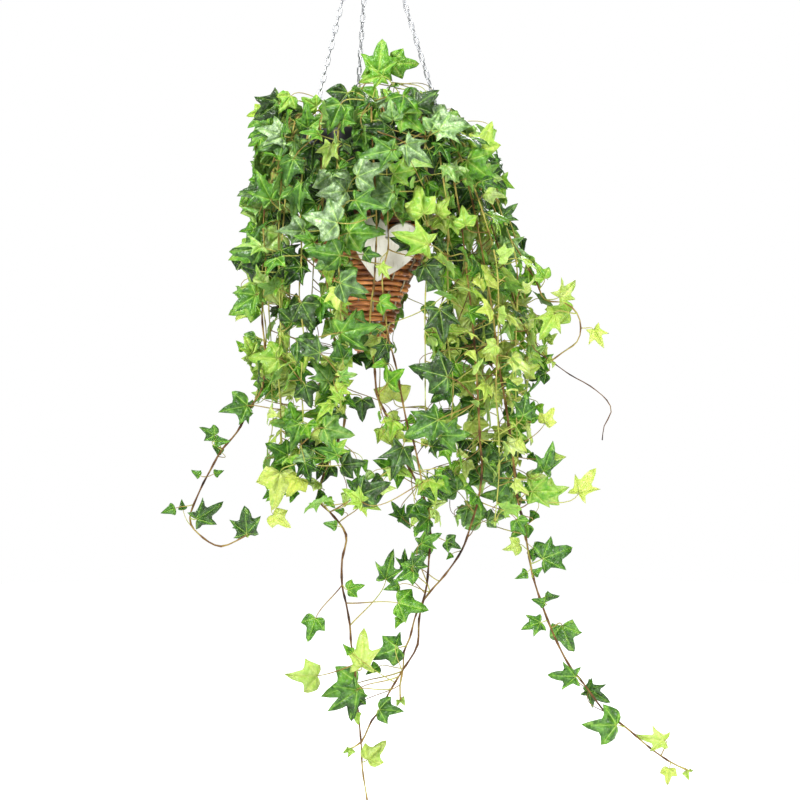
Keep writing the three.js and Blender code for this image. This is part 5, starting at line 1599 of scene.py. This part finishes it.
def add_leaf(growth, leaf, dice):
    """A fine leaf in the place and form of a plain one."""
    outline = np.array(whole_outline(LEAF_EDGES[leaf.edge or leaf.form]))
    turns = 2 * pi * np.arange(EDGE_COUNT) / EDGE_COUNT
    outline = outline * (1 + 0.05 * np.sin(2 * turns + dice.uniform(0, 6.3)))[:, None]
    outline[EDGE_COUNT // 2] = (0, 1)
    grid = np.vstack([[(0, 0)]] + [outline * share for share in LEAF_RINGS])
    share = np.concatenate([[0], np.repeat(LEAF_RINGS, EDGE_COUNT)])
    ray = np.concatenate([[0], np.tile(np.arange(EDGE_COUNT), len(LEAF_RINGS))])
    x, y = grid[:, 0], grid[:, 1]
    wave = np.sin(3 * turns + dice.uniform(0, 6.3))[ray]
    lift = leaf.cup * np.abs(x) - leaf.droop * y * y
    lift += dice.uniform(0.07, 0.17) * PUFF[ray] * share * (1.12 - share)
    lift += dice.uniform(0.02, 0.06) * wave * share ** 2
    lift -= dice.uniform(0.02, 0.14) * np.isin(ray, LOBE_TIPS) * share ** 3
    lift += dice.uniform(-0.16, 0.16) * x * y
    side, tip, face = (np.array(way) for way in (leaf.side, leaf.tip, leaf.face))
    top = np.array(leaf.base) + leaf.length * (x[:, None] * side + y[:, None] * tip + lift[:, None] * face)
    points = np.vstack([top, top - LEAF_THICK * face])
    place = np.vstack([[(0, 0)]] + [PLACE_ON_LEAF * share for share in LEAF_RINGS]) + (1.0, 0.5)
    looks = np.tile([*tone_of(leaf), 0, dice.uniform(0, 1)], (len(points), 1))
    looks[len(top):, 2] = 1
    growth.add(points, BLADE_FACES, 0, np.vstack([place, place]), looks)


def add_stalk(growth, leaf, stem_way, dice):
    """A curved stalk from inside the stem to the underside of the blade."""
    start = leaf.start
    base = add(leaf.base, leaf.face, -0.3)
    long = norm(sub(base, start))
    first = add(start, unit(add(leaf.away, stem_way, dice.uniform(0.1, 0.5))), 0.36 * long)
    second = add(add(base, leaf.tip, -0.3 * long), leaf.face, -0.05 * long)
    steps = max(4, min(9, round(long / 6)))
    path = []
    for i in range(steps + 1):
        t = i / steps
        point = add(scaled(start, (1 - t) ** 3), first, 3 * t * (1 - t) ** 2)
        path.append(add(add(point, second, 3 * t * t * (1 - t)), base, t ** 3))
    path.append(add(base, leaf.tip, 0.05 * leaf.length))
    thick = 0.5 + 0.008 * leaf.length
    radii = [thick * (1.3 - 0.5 * i / steps) for i in range(steps + 1)] + [thick * 0.45]
    age = dice.uniform(0, 0.35) + 0.3 * clamp((long - 30) / 40)
    add_tube(growth, path, radii, 5, [age] * len(path))


def stalk_start(stem, leaf):
    """Where the stalk of one of the part's own leaves leaves the stem, nearer where the plain one is long."""
    plain = lerp(stem.points[leaf.foot.ring], leaf.foot.middle, 0.35)
    goal = add(leaf.base, leaf.tip, -14)
    nearest = min(stem.path[2:], key=lambda place: norm(sub(place, goal)))
    if norm(sub(nearest, leaf.base)) < 0.75 * norm(sub(plain, leaf.base)):
        leaf.away = unit(sub(leaf.base, nearest))
        return nearest
    return plain


def add_shoot_tip(growth, stem, dice):
    """Three tiny bright leaves at the end of a stem."""
    end, before = stem.points[-1], stem.points[-2]
    ahead = unit(sub(end, before))
    for back, size in ((9, 16), (6, 12), (3, 8)):
        turn = unit((dice.uniform(-1, 1), dice.uniform(-1, 1), dice.uniform(-0.5, 0.6)))
        tip = unit(add(ahead, turn, 0.9))
        start = add(end, ahead, -back)
        leaf = make_leaf(add(start, tip, 4), tip, unit(add(turn, (0, -1, 0.3), 1.2)), size, 0.8, 0.15, 0.1, 0)
        leaf.start, leaf.away = start, tip
        add_stalk(growth, leaf, ahead, dice)
        add_leaf(growth, leaf, dice)


def stem_age(stem, along, height):
    """From 0, young and green, to 1, old and dark. The long trailing stems are darkest below the curtain."""
    if stem.bare:
        return 0.72
    if stem.crown:
        return 0.45 - 0.35 * along
    if stem.name.startswith("vine"):
        return (0.42 + 0.22 * clamp((-700 - height) / 250)) * (1 - 0.5 * max(0, along - 0.9) / 0.1)
    return 0.36 - 0.3 * along


def make_stem_piece(stem, number):
    dice = random.Random(100 + number)
    growth = Growth()
    radii, ages = [], []
    phase = dice.uniform(0, 6.3)
    for i, place in enumerate(stem.path):
        along = i / (len(stem.path) - 1)
        knob = 0.4 if i % 3 == 1 else 0.08 * sin(i * 0.9 + 2 * phase)
        thick = 1.4
        if stem.name.startswith("vine"):
            thick = 1.25 if stem.bare else 1.25 + 0.95 * clamp((-600 - place[2]) / 300)
        radii.append((thick - 0.45 * thick * along) * (1 + knob))
        ages.append(stem_age(stem, along, place[2]) + max(0, 0.5 * knob))
    add_tube(growth, stem.path, radii, 8, ages)
    for leaf in stem.leaves:
        leaf.start = leaf.start or stalk_start(stem, leaf)
        if not leaf.edge and leaf.form == "five" and dice.random() < 0.4:
            leaf.edge = "narrow"
        add_stalk(growth, leaf, (0, 0, 0.5 if stem.crown else -0.4), dice)
        add_leaf(growth, leaf, dice)
    if not stem.bare:
        add_shoot_tip(growth, stem, dice)
    nodes = [stem.name] if stem.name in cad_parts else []
    add_piece("fine_" + stem.name, growth.mesh(), nodes, ("leaf", "stem"))


for number, grown_stem in enumerate(stems):
    if grown_stem.leaves or grown_stem.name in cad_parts:
        make_stem_piece(grown_stem, number)

# Geometry Nodes for what follows a path


def geometry_tree(name, sizes):
    """A Geometry Nodes tree with named inputs: the tree and its input, which gives the geometry first."""
    group = bpy.data.node_groups.new(name, "GeometryNodeTree")
    group.interface.new_socket("Geometry", in_out="INPUT", socket_type="NodeSocketGeometry")
    group.interface.new_socket("Geometry", in_out="OUTPUT", socket_type="NodeSocketGeometry")
    for size, kind in {**sizes, "Finish": "Material"}.items():
        group.interface.new_socket(size, in_out="INPUT", socket_type="NodeSocket" + kind)
    tree = Tree(group)
    return tree, tree.node("NodeGroupInput")


def close_tree(tree, given, geometry):
    """Ends a tree: real mesh, smooth, with its finish."""
    whole = tree.node("GeometryNodeRealizeInstances", {"Geometry": geometry})
    smooth = tree.node("GeometryNodeSetShadeSmooth", {"Geometry": whole})
    made = tree.node("GeometryNodeSetMaterial", {"Geometry": smooth, "Material": given["Finish"]})
    tree.node("NodeGroupOutput", {"Geometry": made})
    return tree.tree


def link_tree():
    """Oval wire links along a path, each turned a quarter from the last."""
    sizes = {"Links": "Int", "Long": "Float", "Wide": "Float", "Wire": "Float"}
    tree, given = geometry_tree("chain_links", sizes)
    path = tree.node("GeometryNodeMeshToCurve", {"Mesh": given})
    places = tree.node("GeometryNodeResampleCurve", {"Curve": path, "Count": given["Links"]}, mode="COUNT")
    ahead = tree.node("GeometryNodeInputTangent")
    along = tree.node("FunctionNodeAlignRotationToVector", {"Vector": ahead}, axis="Z")
    number = tree.node("GeometryNodeInputIndex")
    roll = tree.vector(0, 0, number.math("FLOORED_MODULO", number, 2) * (pi / 2))
    turns = {"Rotation": along, "Rotate By": roll}
    turned_along = tree.node("FunctionNodeRotateRotation", turns, rotation_space="LOCAL")
    wide, long = given["Wide"] - given["Wire"], given["Long"] - given["Wire"]
    oblong = tree.node("GeometryNodeCurvePrimitiveQuadrilateral", {"Width": wide, "Height": long})
    rounding = {"Curve": oblong, "Count": 3, "Radius": wide * 0.499, "Limit Radius": True}
    oval = tree.node("GeometryNodeFilletCurve", rounding, mode="POLY")
    upright = tree.node("GeometryNodeTransform", {"Geometry": oval, "Rotation": (pi / 2, 0, 0)})
    section = tree.node("GeometryNodeCurvePrimitiveCircle", {"Resolution": 6, "Radius": given["Wire"] * 0.5})
    link = tree.node("GeometryNodeCurveToMesh", {"Curve": upright, "Profile Curve": section})
    links = {"Points": places, "Instance": link, "Rotation": turned_along}
    return close_tree(tree, given, tree.node("GeometryNodeInstanceOnPoints", links))


def rod_tree():
    """Round rods along paths, each vertex of a path with its own thickness, and knobs of a given size."""
    tree, given = geometry_tree("rods", {"Sides": "Int", "Knobs": "Float", "Knobs a metre": "Float"})

    def stored(geometry, name, value, kind):
        inputs = {"Geometry": geometry, "Name": name, "Value": value}
        return tree.node("GeometryNodeStoreNamedAttribute", inputs, data_type=kind, domain="POINT")

    path = tree.node("GeometryNodeMeshToCurve", {"Mesh": given})
    measured = stored(path, "along", tree.node("GeometryNodeSplineParameter")["Length"], "FLOAT")
    section = tree.node("GeometryNodeCurvePrimitiveCircle", {"Resolution": given["Sides"], "Radius": 1.0})
    marked = stored(section, "skin", tree.node("GeometryNodeInputPosition"), "FLOAT_VECTOR")
    thick = tree.node("GeometryNodeInputNamedAttribute", {"Name": "thick"}, data_type="FLOAT")
    rod = {"Curve": measured, "Profile Curve": marked, "Scale": thick, "Fill Caps": True}
    solid = tree.node("GeometryNodeCurveToMesh", rod)
    place = tree.node("GeometryNodeInputPosition")
    grain = {"Vector": place, "Scale": given["Knobs a metre"], "Detail": 2.0}
    knobs = tree.node("ShaderNodeTexNoise", grain)
    normal = tree.node("GeometryNodeInputNormal")
    swell = {"Vector": normal, "Scale": (knobs - 0.5) * given["Knobs"]}
    push = tree.node("ShaderNodeVectorMath", swell, operation="SCALE")
    return close_tree(tree, given, tree.node("GeometryNodeSetPosition", {"Geometry": solid, "Offset": push}))


def crumb_tree():
    """Crumbs of several sizes strewn on a surface."""
    sizes = {"Density": "Float", "Small": "Float", "Large": "Float", "Seed": "Int"}
    tree, given = geometry_tree("crumbs", sizes)
    seed = given["Seed"]
    ground = {"Mesh": given, "Density": given["Density"], "Seed": seed}
    strewn = tree.node("GeometryNodeDistributePointsOnFaces", ground)
    crumb = tree.node("GeometryNodeMeshIcoSphere", {"Radius": 1.0, "Subdivisions": 1})
    ends = {2: given["Small"], 3: given["Large"], "Seed": seed}
    size = tree.node("FunctionNodeRandomValue", ends, data_type="FLOAT")[1]
    flat = tree.vector(size, size * 0.8, size * 0.6)
    ends = {0: (0, 0, 0), 1: (6.3, 6.3, 6.3), "Seed": seed}
    turn = tree.node("FunctionNodeRandomValue", ends, data_type="FLOAT_VECTOR")
    crumbs = {"Points": strewn, "Instance": crumb, "Scale": flat, "Rotation": turn}
    return close_tree(tree, given, tree.node("GeometryNodeInstanceOnPoints", crumbs))


TREES = {"links": link_tree(), "rods": rod_tree(), "crumbs": crumb_tree()}


def grown(mesh, tree_name, made, **sizes):
    """The plain mesh that a tree makes from a mesh."""
    carrier = add_object("carrier", mesh)
    modifier = carrier.modifiers.new("grown", "NODES")
    modifier.node_group = TREES[tree_name]
    values = {**sizes, "Finish": FINISHES[made]}
    for item in modifier.node_group.interface.items_tree:
        if item.in_out == "INPUT" and item.name in values:
            modifier[item.identifier] = values[item.name]
    return baked(carrier)


def path_mesh(paths, closed=False):
    """Paths as edges. Each path is its points and its thickness, one or one for each, in millimetres."""
    points, edges, thick, twig = [], [], [], []
    for number, (path, radii) in enumerate(paths):
        first = len(points)
        points.extend(scaled(point, MM) for point in path)
        edges.extend((first + i, first + i + 1) for i in range(len(path) - 1))
        if closed:
            edges.append((len(points) - 1, first))
        thick.extend(np.broadcast_to(radii, len(path)) * MM)
        twig.extend([float(number)] * len(path))
    mesh = bpy.data.meshes.new("paths")
    mesh.from_pydata(points, edges, [])
    for name, values in (("thick", thick), ("twig", twig)):
        mesh.attributes.new(name, "FLOAT", "POINT").data.foreach_set("value", values)
    return mesh


def rods(paths, made, sides=8, knobs=0.0, spacing=0.02, closed=False):
    sizes = {"Sides": sides, "Knobs": knobs, "Knobs a metre": 1 / spacing}
    return grown(path_mesh(paths, closed), "rods", made, **sizes)


def joined(*meshes):
    """Several meshes as one, each with its own finish."""
    holders = [add_object("holder", mesh) for mesh in meshes]
    with bpy.context.temp_override(active_object=holders[0], selected_editable_objects=holders,
                                   selected_objects=holders, object=holders[0]):
        bpy.ops.object.join()
    mesh = holders[0].data
    bpy.data.objects.remove(holders[0])
    return mesh


# The hook and the chains


def make_hook():
    bend, bore = HOOK.bore + HOOK.wire, HOOK.bore
    path = []
    for angle in range(-35, 181, 8):
        turn = radians(angle)
        path.append((bend * cos(turn), 0, bend * sin(turn) - bore))
    shank = [path[-1], (-bend * 0.8, 0, -bore - 12), (0, 0, -bore - 25), (0, 0, HOOK.eye - HOOK.eye_drop)]
    path += smooth_path(shank, 2.5)[1:]
    eye = circle_path(HOOK.eye, 40, (0, 0, -HOOK.eye_drop), (1, 0, 0))
    bent = rods([(path, HOOK.wire)], "steel", 16)
    closed_eye = rods([(eye, HOOK.wire)], "steel", 16, closed=True)
    add_piece("bent_hook", joined(bent, closed_eye), ["hook"])


def make_chain(name):
    route = chain_corners(name)
    long = sum(norm(sub(b, a)) for a, b in zip(route, route[1:]))
    links = rounded(long / CHAIN.pitch)
    for end, next_one in ((0, 1), (-1, -2)):
        apart = norm(sub(route[next_one], route[end]))
        route[end] = lerp(route[end], route[next_one], 0.5 * long / links / apart)
    leg = grown(path_mesh([(route, 1)]), "links", "steel", **{
        "Links": links, "Long": (CHAIN.pitch + 3.0) * MM, "Wide": 2.5 * CHAIN.wide * MM, "Wire": 2.4 * MM,
    })
    azimuth, eye_angle = CHAINS[name]
    eye_way = (cos(radians(eye_angle)), 0, sin(radians(eye_angle)))
    eye_loop = circle_path(CHAIN_LOOP.at_eye, 24, in_eye(name, HOOK.eye), eye_way, (0, 1, 0))
    rim_place = on_circle(azimuth, RIM.radius, RIM.height + CHAIN_LOOP.lift)
    rim_loop = circle_path(CHAIN_LOOP.at_rim, 40, rim_place, on_circle(azimuth, 1, 0))
    rings = rods([(eye_loop, CHAIN_LOOP.wire), (rim_loop, CHAIN_LOOP.wire)], "steel", 8, closed=True)
    add_piece(name + "_links", joined(leg, rings), [name])


make_hook()
for chain_name in CHAINS:
    make_chain(chain_name)

# The wicker

ROD_COUNT = 6
ROD_OFFSET = 5.2
ROD_THICK = 3.25
ROW_PITCH = 16.0
STAKE_COUNT = 13
ROW_RISE = 0.055
STAKE_LONG = 210


def make_rim():
    """Rods laid side by side that turn slowly round each other."""
    paths = []
    for rod in range(ROD_COUNT):
        path, radii = [], []
        for azimuth in range(0, 360, 2):
            turn = 2 * pi * rod / ROD_COUNT + radians(3 * azimuth)
            radius = RIM.radius + ROD_OFFSET * cos(turn)
            path.append(on_circle(azimuth, radius, RIM.height + ROD_OFFSET * sin(turn)))
            radii.append(ROD_THICK * (1 + 0.06 * sin(radians(azimuth) * (rod + 2) + rod)))
        paths.append((path, radii))
    add_piece("rim_rods", rods(paths, "rim", 10, 0.9 * MM, 0.012, True), ["basket_rim"])


def on_cone(azimuth, height, least, out):
    """A place near the cone's surface: how far out of it, and the least distance from the axis."""
    radius = cone_radius(max(CONE_TIP, min(height, CONE_TOP)))
    return on_circle(azimuth, max(least, radius + out), height)


def make_cone():
    top = CONE_TOP - 5
    rows = 1 + (top - CONE_TIP - 5) / ROW_PITCH
    steps = int(rows * STAKE_COUNT * 4)
    dice = random.Random(5)
    twigs = []
    for lift in (3.9, -3.9):
        path, radii = [], []
        phase = dice.uniform(0, 6.3)
        for i in range(steps + 1):
            angle = rows * i / steps - 1
            height = top - ROW_PITCH * max(0, angle) + lift + 0.8 * sin(angle * 5.3 + phase)
            x, y, z = on_cone(360 * angle, height, 3.0, 3.4 * cos(STAKE_COUNT * pi * angle) - 6)
            path.append((x, y, z + ROW_RISE * x))
            radii.append(3.65 + 0.35 * sin(angle * 3.7 + phase) + 0.2 * sin(angle * 11 + phase))
        twigs.extend(cut_into_twigs(path, radii, dice))
    weave = rods(twigs, "wicker", 8, 1.1 * MM, 0.01)
    stakes = []
    for k in range(STAKE_COUNT):
        azimuth = 360 * k / STAKE_COUNT
        heights = [CONE_TOP + 4 - STAKE_LONG * i / 23 for i in range(24)]
        stakes.append(([on_cone(azimuth, height, 3.5, -6) for height in heights], 1.7))
    bars = rods(stakes, "stake", 6, 0.3 * MM, 0.01)
    bottom = rods([([(0, 0, CONE_TIP + up) for up in (0, 12, 27)], [8, 13, 17])], "wicker", 16, 1 * MM, 0.01)
    add_piece("woven_cone", joined(weave, bars, bottom), ["basket_cone"])


def cut_into_twigs(path, radii, dice):
    """Cuts a long path into twigs whose ends overlap, with each end standing out a little."""
    twigs = []
    start = 0
    while start < len(path) - 6:
        end = min(len(path), start + dice.randint(58, 92))
        twig, thick = path[start:end], radii[start:end]
        for place in (0, -1):
            x, y, z = twig[place]
            stretch = 1 + 5 / (hypot(x, y) or 1)
            twig[place] = (x * stretch, y * stretch, z)
            thick[place] *= 0.85
        twigs.append((twig, thick))
        start = end - 3
    return twigs


make_rim()
make_cone()

# The plaque and its wire


def on_plaque(point):
    """From the plaque's own plane, x across and y up from its top, to its place on the cone."""
    turn, lean = -radians(PLAQUE.turn), pi / 2 + radians(PLAQUE.lean)
    x, y, z = point
    x, y = x * cos(turn) - y * sin(turn), x * sin(turn) + y * cos(turn)
    y, z = y * cos(lean) - z * sin(lean), y * sin(lean) + z * cos(lean)
    return (x + PLAQUE.x, y - RIM.radius - RIM.thick - 3 * TOUCH_GAP, z + PLAQUE.top)


PLAQUE_EDGE = 0.7


def heart_curve():
    """The plaque's outline and the hole for its wire, as a filled curve with rounded edges."""
    half, tall = PLAQUE.width / 2, PLAQUE.height
    curve = bpy.data.curves.new("heart", "CURVE")
    curve.dimensions = "2D"
    curve.fill_mode = "BOTH"
    curve.extrude = PLAQUE.thick / 2 - PLAQUE_EDGE
    curve.bevel_depth = PLAQUE_EDGE
    curve.bevel_resolution = 2
    curve.offset = -PLAQUE_EDGE
    curve.resolution_u = 16
    tips = [
        ((0, -tall), (-half * 0.5, -tall * 0.78), (half * 0.5, -tall * 0.78)),
        ((half, -tall * 0.32), (half, -tall * 0.58), (half, tall * 0.02)),
        ((0, -PLAQUE.cleft), (half * 0.3, tall * 0.1), (-half * 0.3, tall * 0.1)),
        ((-half, -tall * 0.32), (-half, tall * 0.02), (-half, -tall * 0.58)),
    ]
    heart = curve.splines.new("BEZIER")
    heart.bezier_points.add(3)
    heart.use_cyclic_u = True
    for point, places in zip(heart.bezier_points, tips):
        point.co, point.handle_left, point.handle_right = ((*place, 0) for place in places)
    hole = curve.splines.new("POLY")
    hole.points.add(19)
    hole.use_cyclic_u = True
    middle = (0, -PLAQUE.cleft - PLAQUE_WIRE.drop, 0)
    for point, place in zip(hole.points, circle_path(PLAQUE_WIRE.hole, 20, middle, (1, 0, 0), (0, -1, 0))):
        point.co = (*place, 1)
    return curve


def make_plaque():
    mesh = baked(add_object("carrier", heart_curve()))
    worn_from, worn_to = PLAQUE.thick / 2 - PLAQUE_EDGE * 0.98, PLAQUE.thick / 2 - 0.01
    worn = [float(worn_from < abs(vertex.co.z) < worn_to) for vertex in mesh.vertices]
    mesh.attributes.new("worn", "FLOAT", "POINT").data.foreach_set("value", worn)
    for vertex in mesh.vertices:
        x, y, z = vertex.co
        vertex.co = scaled(on_plaque((x, y, z + PLAQUE.thick / 2)), MM)
    mesh.materials.clear()
    add_piece("heart_board", mesh, ["heart_plaque"], ["plaque"])


def make_plaque_wire():
    hole = PLAQUE_WIRE.lift - PLAQUE.cleft - PLAQUE_WIRE.drop
    behind, front = (on_plaque((0, hole, depth)) for depth in (-3, PLAQUE.thick + 2.5))
    outer, inner = (-sqrt((RIM.radius + side * RIM.thick) ** 2 - behind[0] ** 2) for side in (1, -1))
    over = RIM.height + RIM.thick * cos(pi / 6) + TOUCH_GAP + PLAQUE_WIRE.radius
    sides = [
        (outer - 9, RIM.height - 14), (outer - 8, RIM.height), (outer - 1, over), (inner - 1, over),
        (inner + 3, RIM.height), (inner + 3, RIM.height - 6),
    ]
    path = smooth_path([behind, front] + [(front[0], y, z) for y, z in sides], 2)
    add_piece("board_wire", rods([(path, PLAQUE_WIRE.radius)], "steel", 8), ["plaque_wire"])


make_plaque()
make_plaque_wire()

# The nursery pot and its soil


def turned(profile, sides):
    """A profile of (radius, height) pairs turned round the axis, closed where it meets the axis."""
    points, faces, rings = [], [], []
    for radius, height in profile:
        if radius < 1e-6:
            rings.append([len(points)] * sides)
            points.append((0, 0, height * MM))
        else:
            rings.append([len(points) + k for k in range(sides)])
            points.extend(scaled(on_circle(360 * k / sides, radius, height), MM) for k in range(sides))
    for low, high in zip(rings, rings[1:]):
        for k in range(sides):
            after = (k + 1) % sides
            face = tuple(dict.fromkeys((low[k], low[after], high[after], high[k])))
            if len(face) > 2:
                faces.append(face)
    mesh = bpy.data.meshes.new("turned")
    mesh.from_pydata(points, [], faces)
    mesh.polygons.foreach_set("use_smooth", [True] * len(faces))
    mesh.update()
    return mesh


def pot_radius(height):
    """The pot's outer radius below its band."""
    risen = height - POT.top + POT.height
    return POT.foot + ((POT.rim - POT.lip - POT.foot) * risen) / POT.height


def make_pot():
    foot, band = POT.top - POT.height, POT.top - POT.band
    rim, wall, low, neck = POT.rim, POT.wall, POT.foot, pot_radius(POT.top - POT.band)
    profile = [
        (0, foot + wall), (low - wall, foot + wall), (low - wall, foot + wall + 0.2),
        (neck - wall, band + wall - 0.2), (neck - wall, band + wall),
        (rim - wall, band + wall), (rim - wall, band + wall + 0.2), (rim - wall, POT.top - 0.4),
        (rim - wall + 0.4, POT.top), (rim - 0.5, POT.top), (rim, POT.top - 0.5), (rim, band + 0.5),
        (rim - 0.4, band), (neck + 0.3, band), (neck, band - 0.4),
        (low + 0.2, foot + 0.8), (low - 0.6, foot), (0, foot),
    ]
    add_piece("nursery_pot", turned(profile[::-1], 96), ["grow_pot"], ["plastic"])


def make_soil():
    foot = POT.top - POT.height + POT.wall + TOUCH_GAP
    ledge = POT.top - POT.band + POT.wall
    clear = POT.wall + 1.5 * TOUCH_GAP
    edge = POT.rim - clear
    shares = (0.97, 0.9, 0.82, 0.74, 0.66, 0.58, 0.5, 0.42, 0.34, 0.26, 0.18, 0.1)
    mesh = turned([
        (0, foot), (POT.foot - clear, foot), (pot_radius(ledge - POT.wall) - clear, ledge + TOUCH_GAP),
        (edge, ledge + TOUCH_GAP), (edge, SOIL_TOP - 1.5),
        *((edge * share, SOIL_TOP - 1) for share in shares), (0, SOIL_TOP),
    ], 72)
    for vertex in mesh.vertices:
        x, y, z = vertex.co
        if z > (SOIL_TOP - 1.2) * MM:
            vertex.co.z += MM * (1.2 * sin(x * 140 + 1) * sin(y * 170) + 0.8 * sin(x * 330 + y * 290))
    mesh.materials.append(FINISHES["soil"])
    top = turned([(edge * 0.97, SOIL_TOP - 1.6), (0, SOIL_TOP - 1)], 48)
    crumbs = grown(top, "crumbs", "soil", Density=30000.0, Small=0.7 * MM, Large=2.4 * MM, Seed=3)
    add_piece("potting_soil", joined(mesh, crumbs), ["soil"])


make_pot()
make_soil()

# Floor, light and camera

# Each lamp: its place, its width and its power
LAMPS = {
    "window": ((-1.1, -1.7, 0.8), 0.5, 96), "fill": ((1.75, -1.9, -1.6), 1.0, 70),
    "top": ((0.4, -0.7, 1.5), 0.8, 26), "back": ((0.6, 2.4, 0.8), 1.6, 50),
}
LAMPS_FACE = (0.03, 0, -0.8)
FLOOR = -1760
FLOOR_RADII = (6000, 3000, 0)


def make_stage():
    floor_mesh = turned([(radius, FLOOR) for radius in FLOOR_RADII], 64)
    floor_mesh.materials.append(FINISHES["floor"])
    add_object("floor", floor_mesh)
    bpy.context.scene.view_settings.view_transform = "Standard"
    make_studio()
    for name, (place, size, power) in LAMPS.items():
        lamp = bpy.data.lights.new(name, "AREA")
        lamp.shape = "DISK"
        lamp.size = size
        lamp.energy = power
        light = add_object(name, lamp)
        light.location = place
        light.rotation_euler = look_along(sub(LAMPS_FACE, place))


def make_studio():
    """A white room, whose light on the plant comes more from above than from the sides and below."""
    world = bpy.data.worlds.new("studio")
    bpy.context.scene.world = world
    world.use_nodes = True
    world.node_tree.nodes.clear()
    tree = Tree(world.node_tree)
    _, _, height = tree.parts(tree.node("ShaderNodeTexCoord"))
    glow = 0.3 + 0.55 * height.step(0.0, 1.0)
    light, seen = (
        tree.node("ShaderNodeBackground", {"Color": (1, 1, 1, 1), "Strength": strength})
        for strength in (glow, 1.0)
    )
    to_camera = tree.node("ShaderNodeLightPath")["Is Camera Ray"]
    both = tree.node("ShaderNodeMixShader", {0: to_camera, 1: light, 2: seen})
    tree.node("ShaderNodeOutputWorld", {"Surface": both})


def look_along(way):
    """The turn that points a lamp along a direction, upright."""
    return (atan2(hypot(way[0], way[1]), -way[2]), 0, atan2(way[1], way[0]) - pi / 2)


def make_camera():
    lens = bpy.data.cameras.new("camera")
    lens.lens = 78.75
    lens.sensor_width = 36
    camera = add_object("camera", lens)
    camera.location = scaled((VIEW.x, -VIEW.distance, VIEW.z), MM)
    camera.rotation_euler = (pi / 2, 0, 0)
    bpy.context.scene.camera = camera


make_stage()
make_camera()
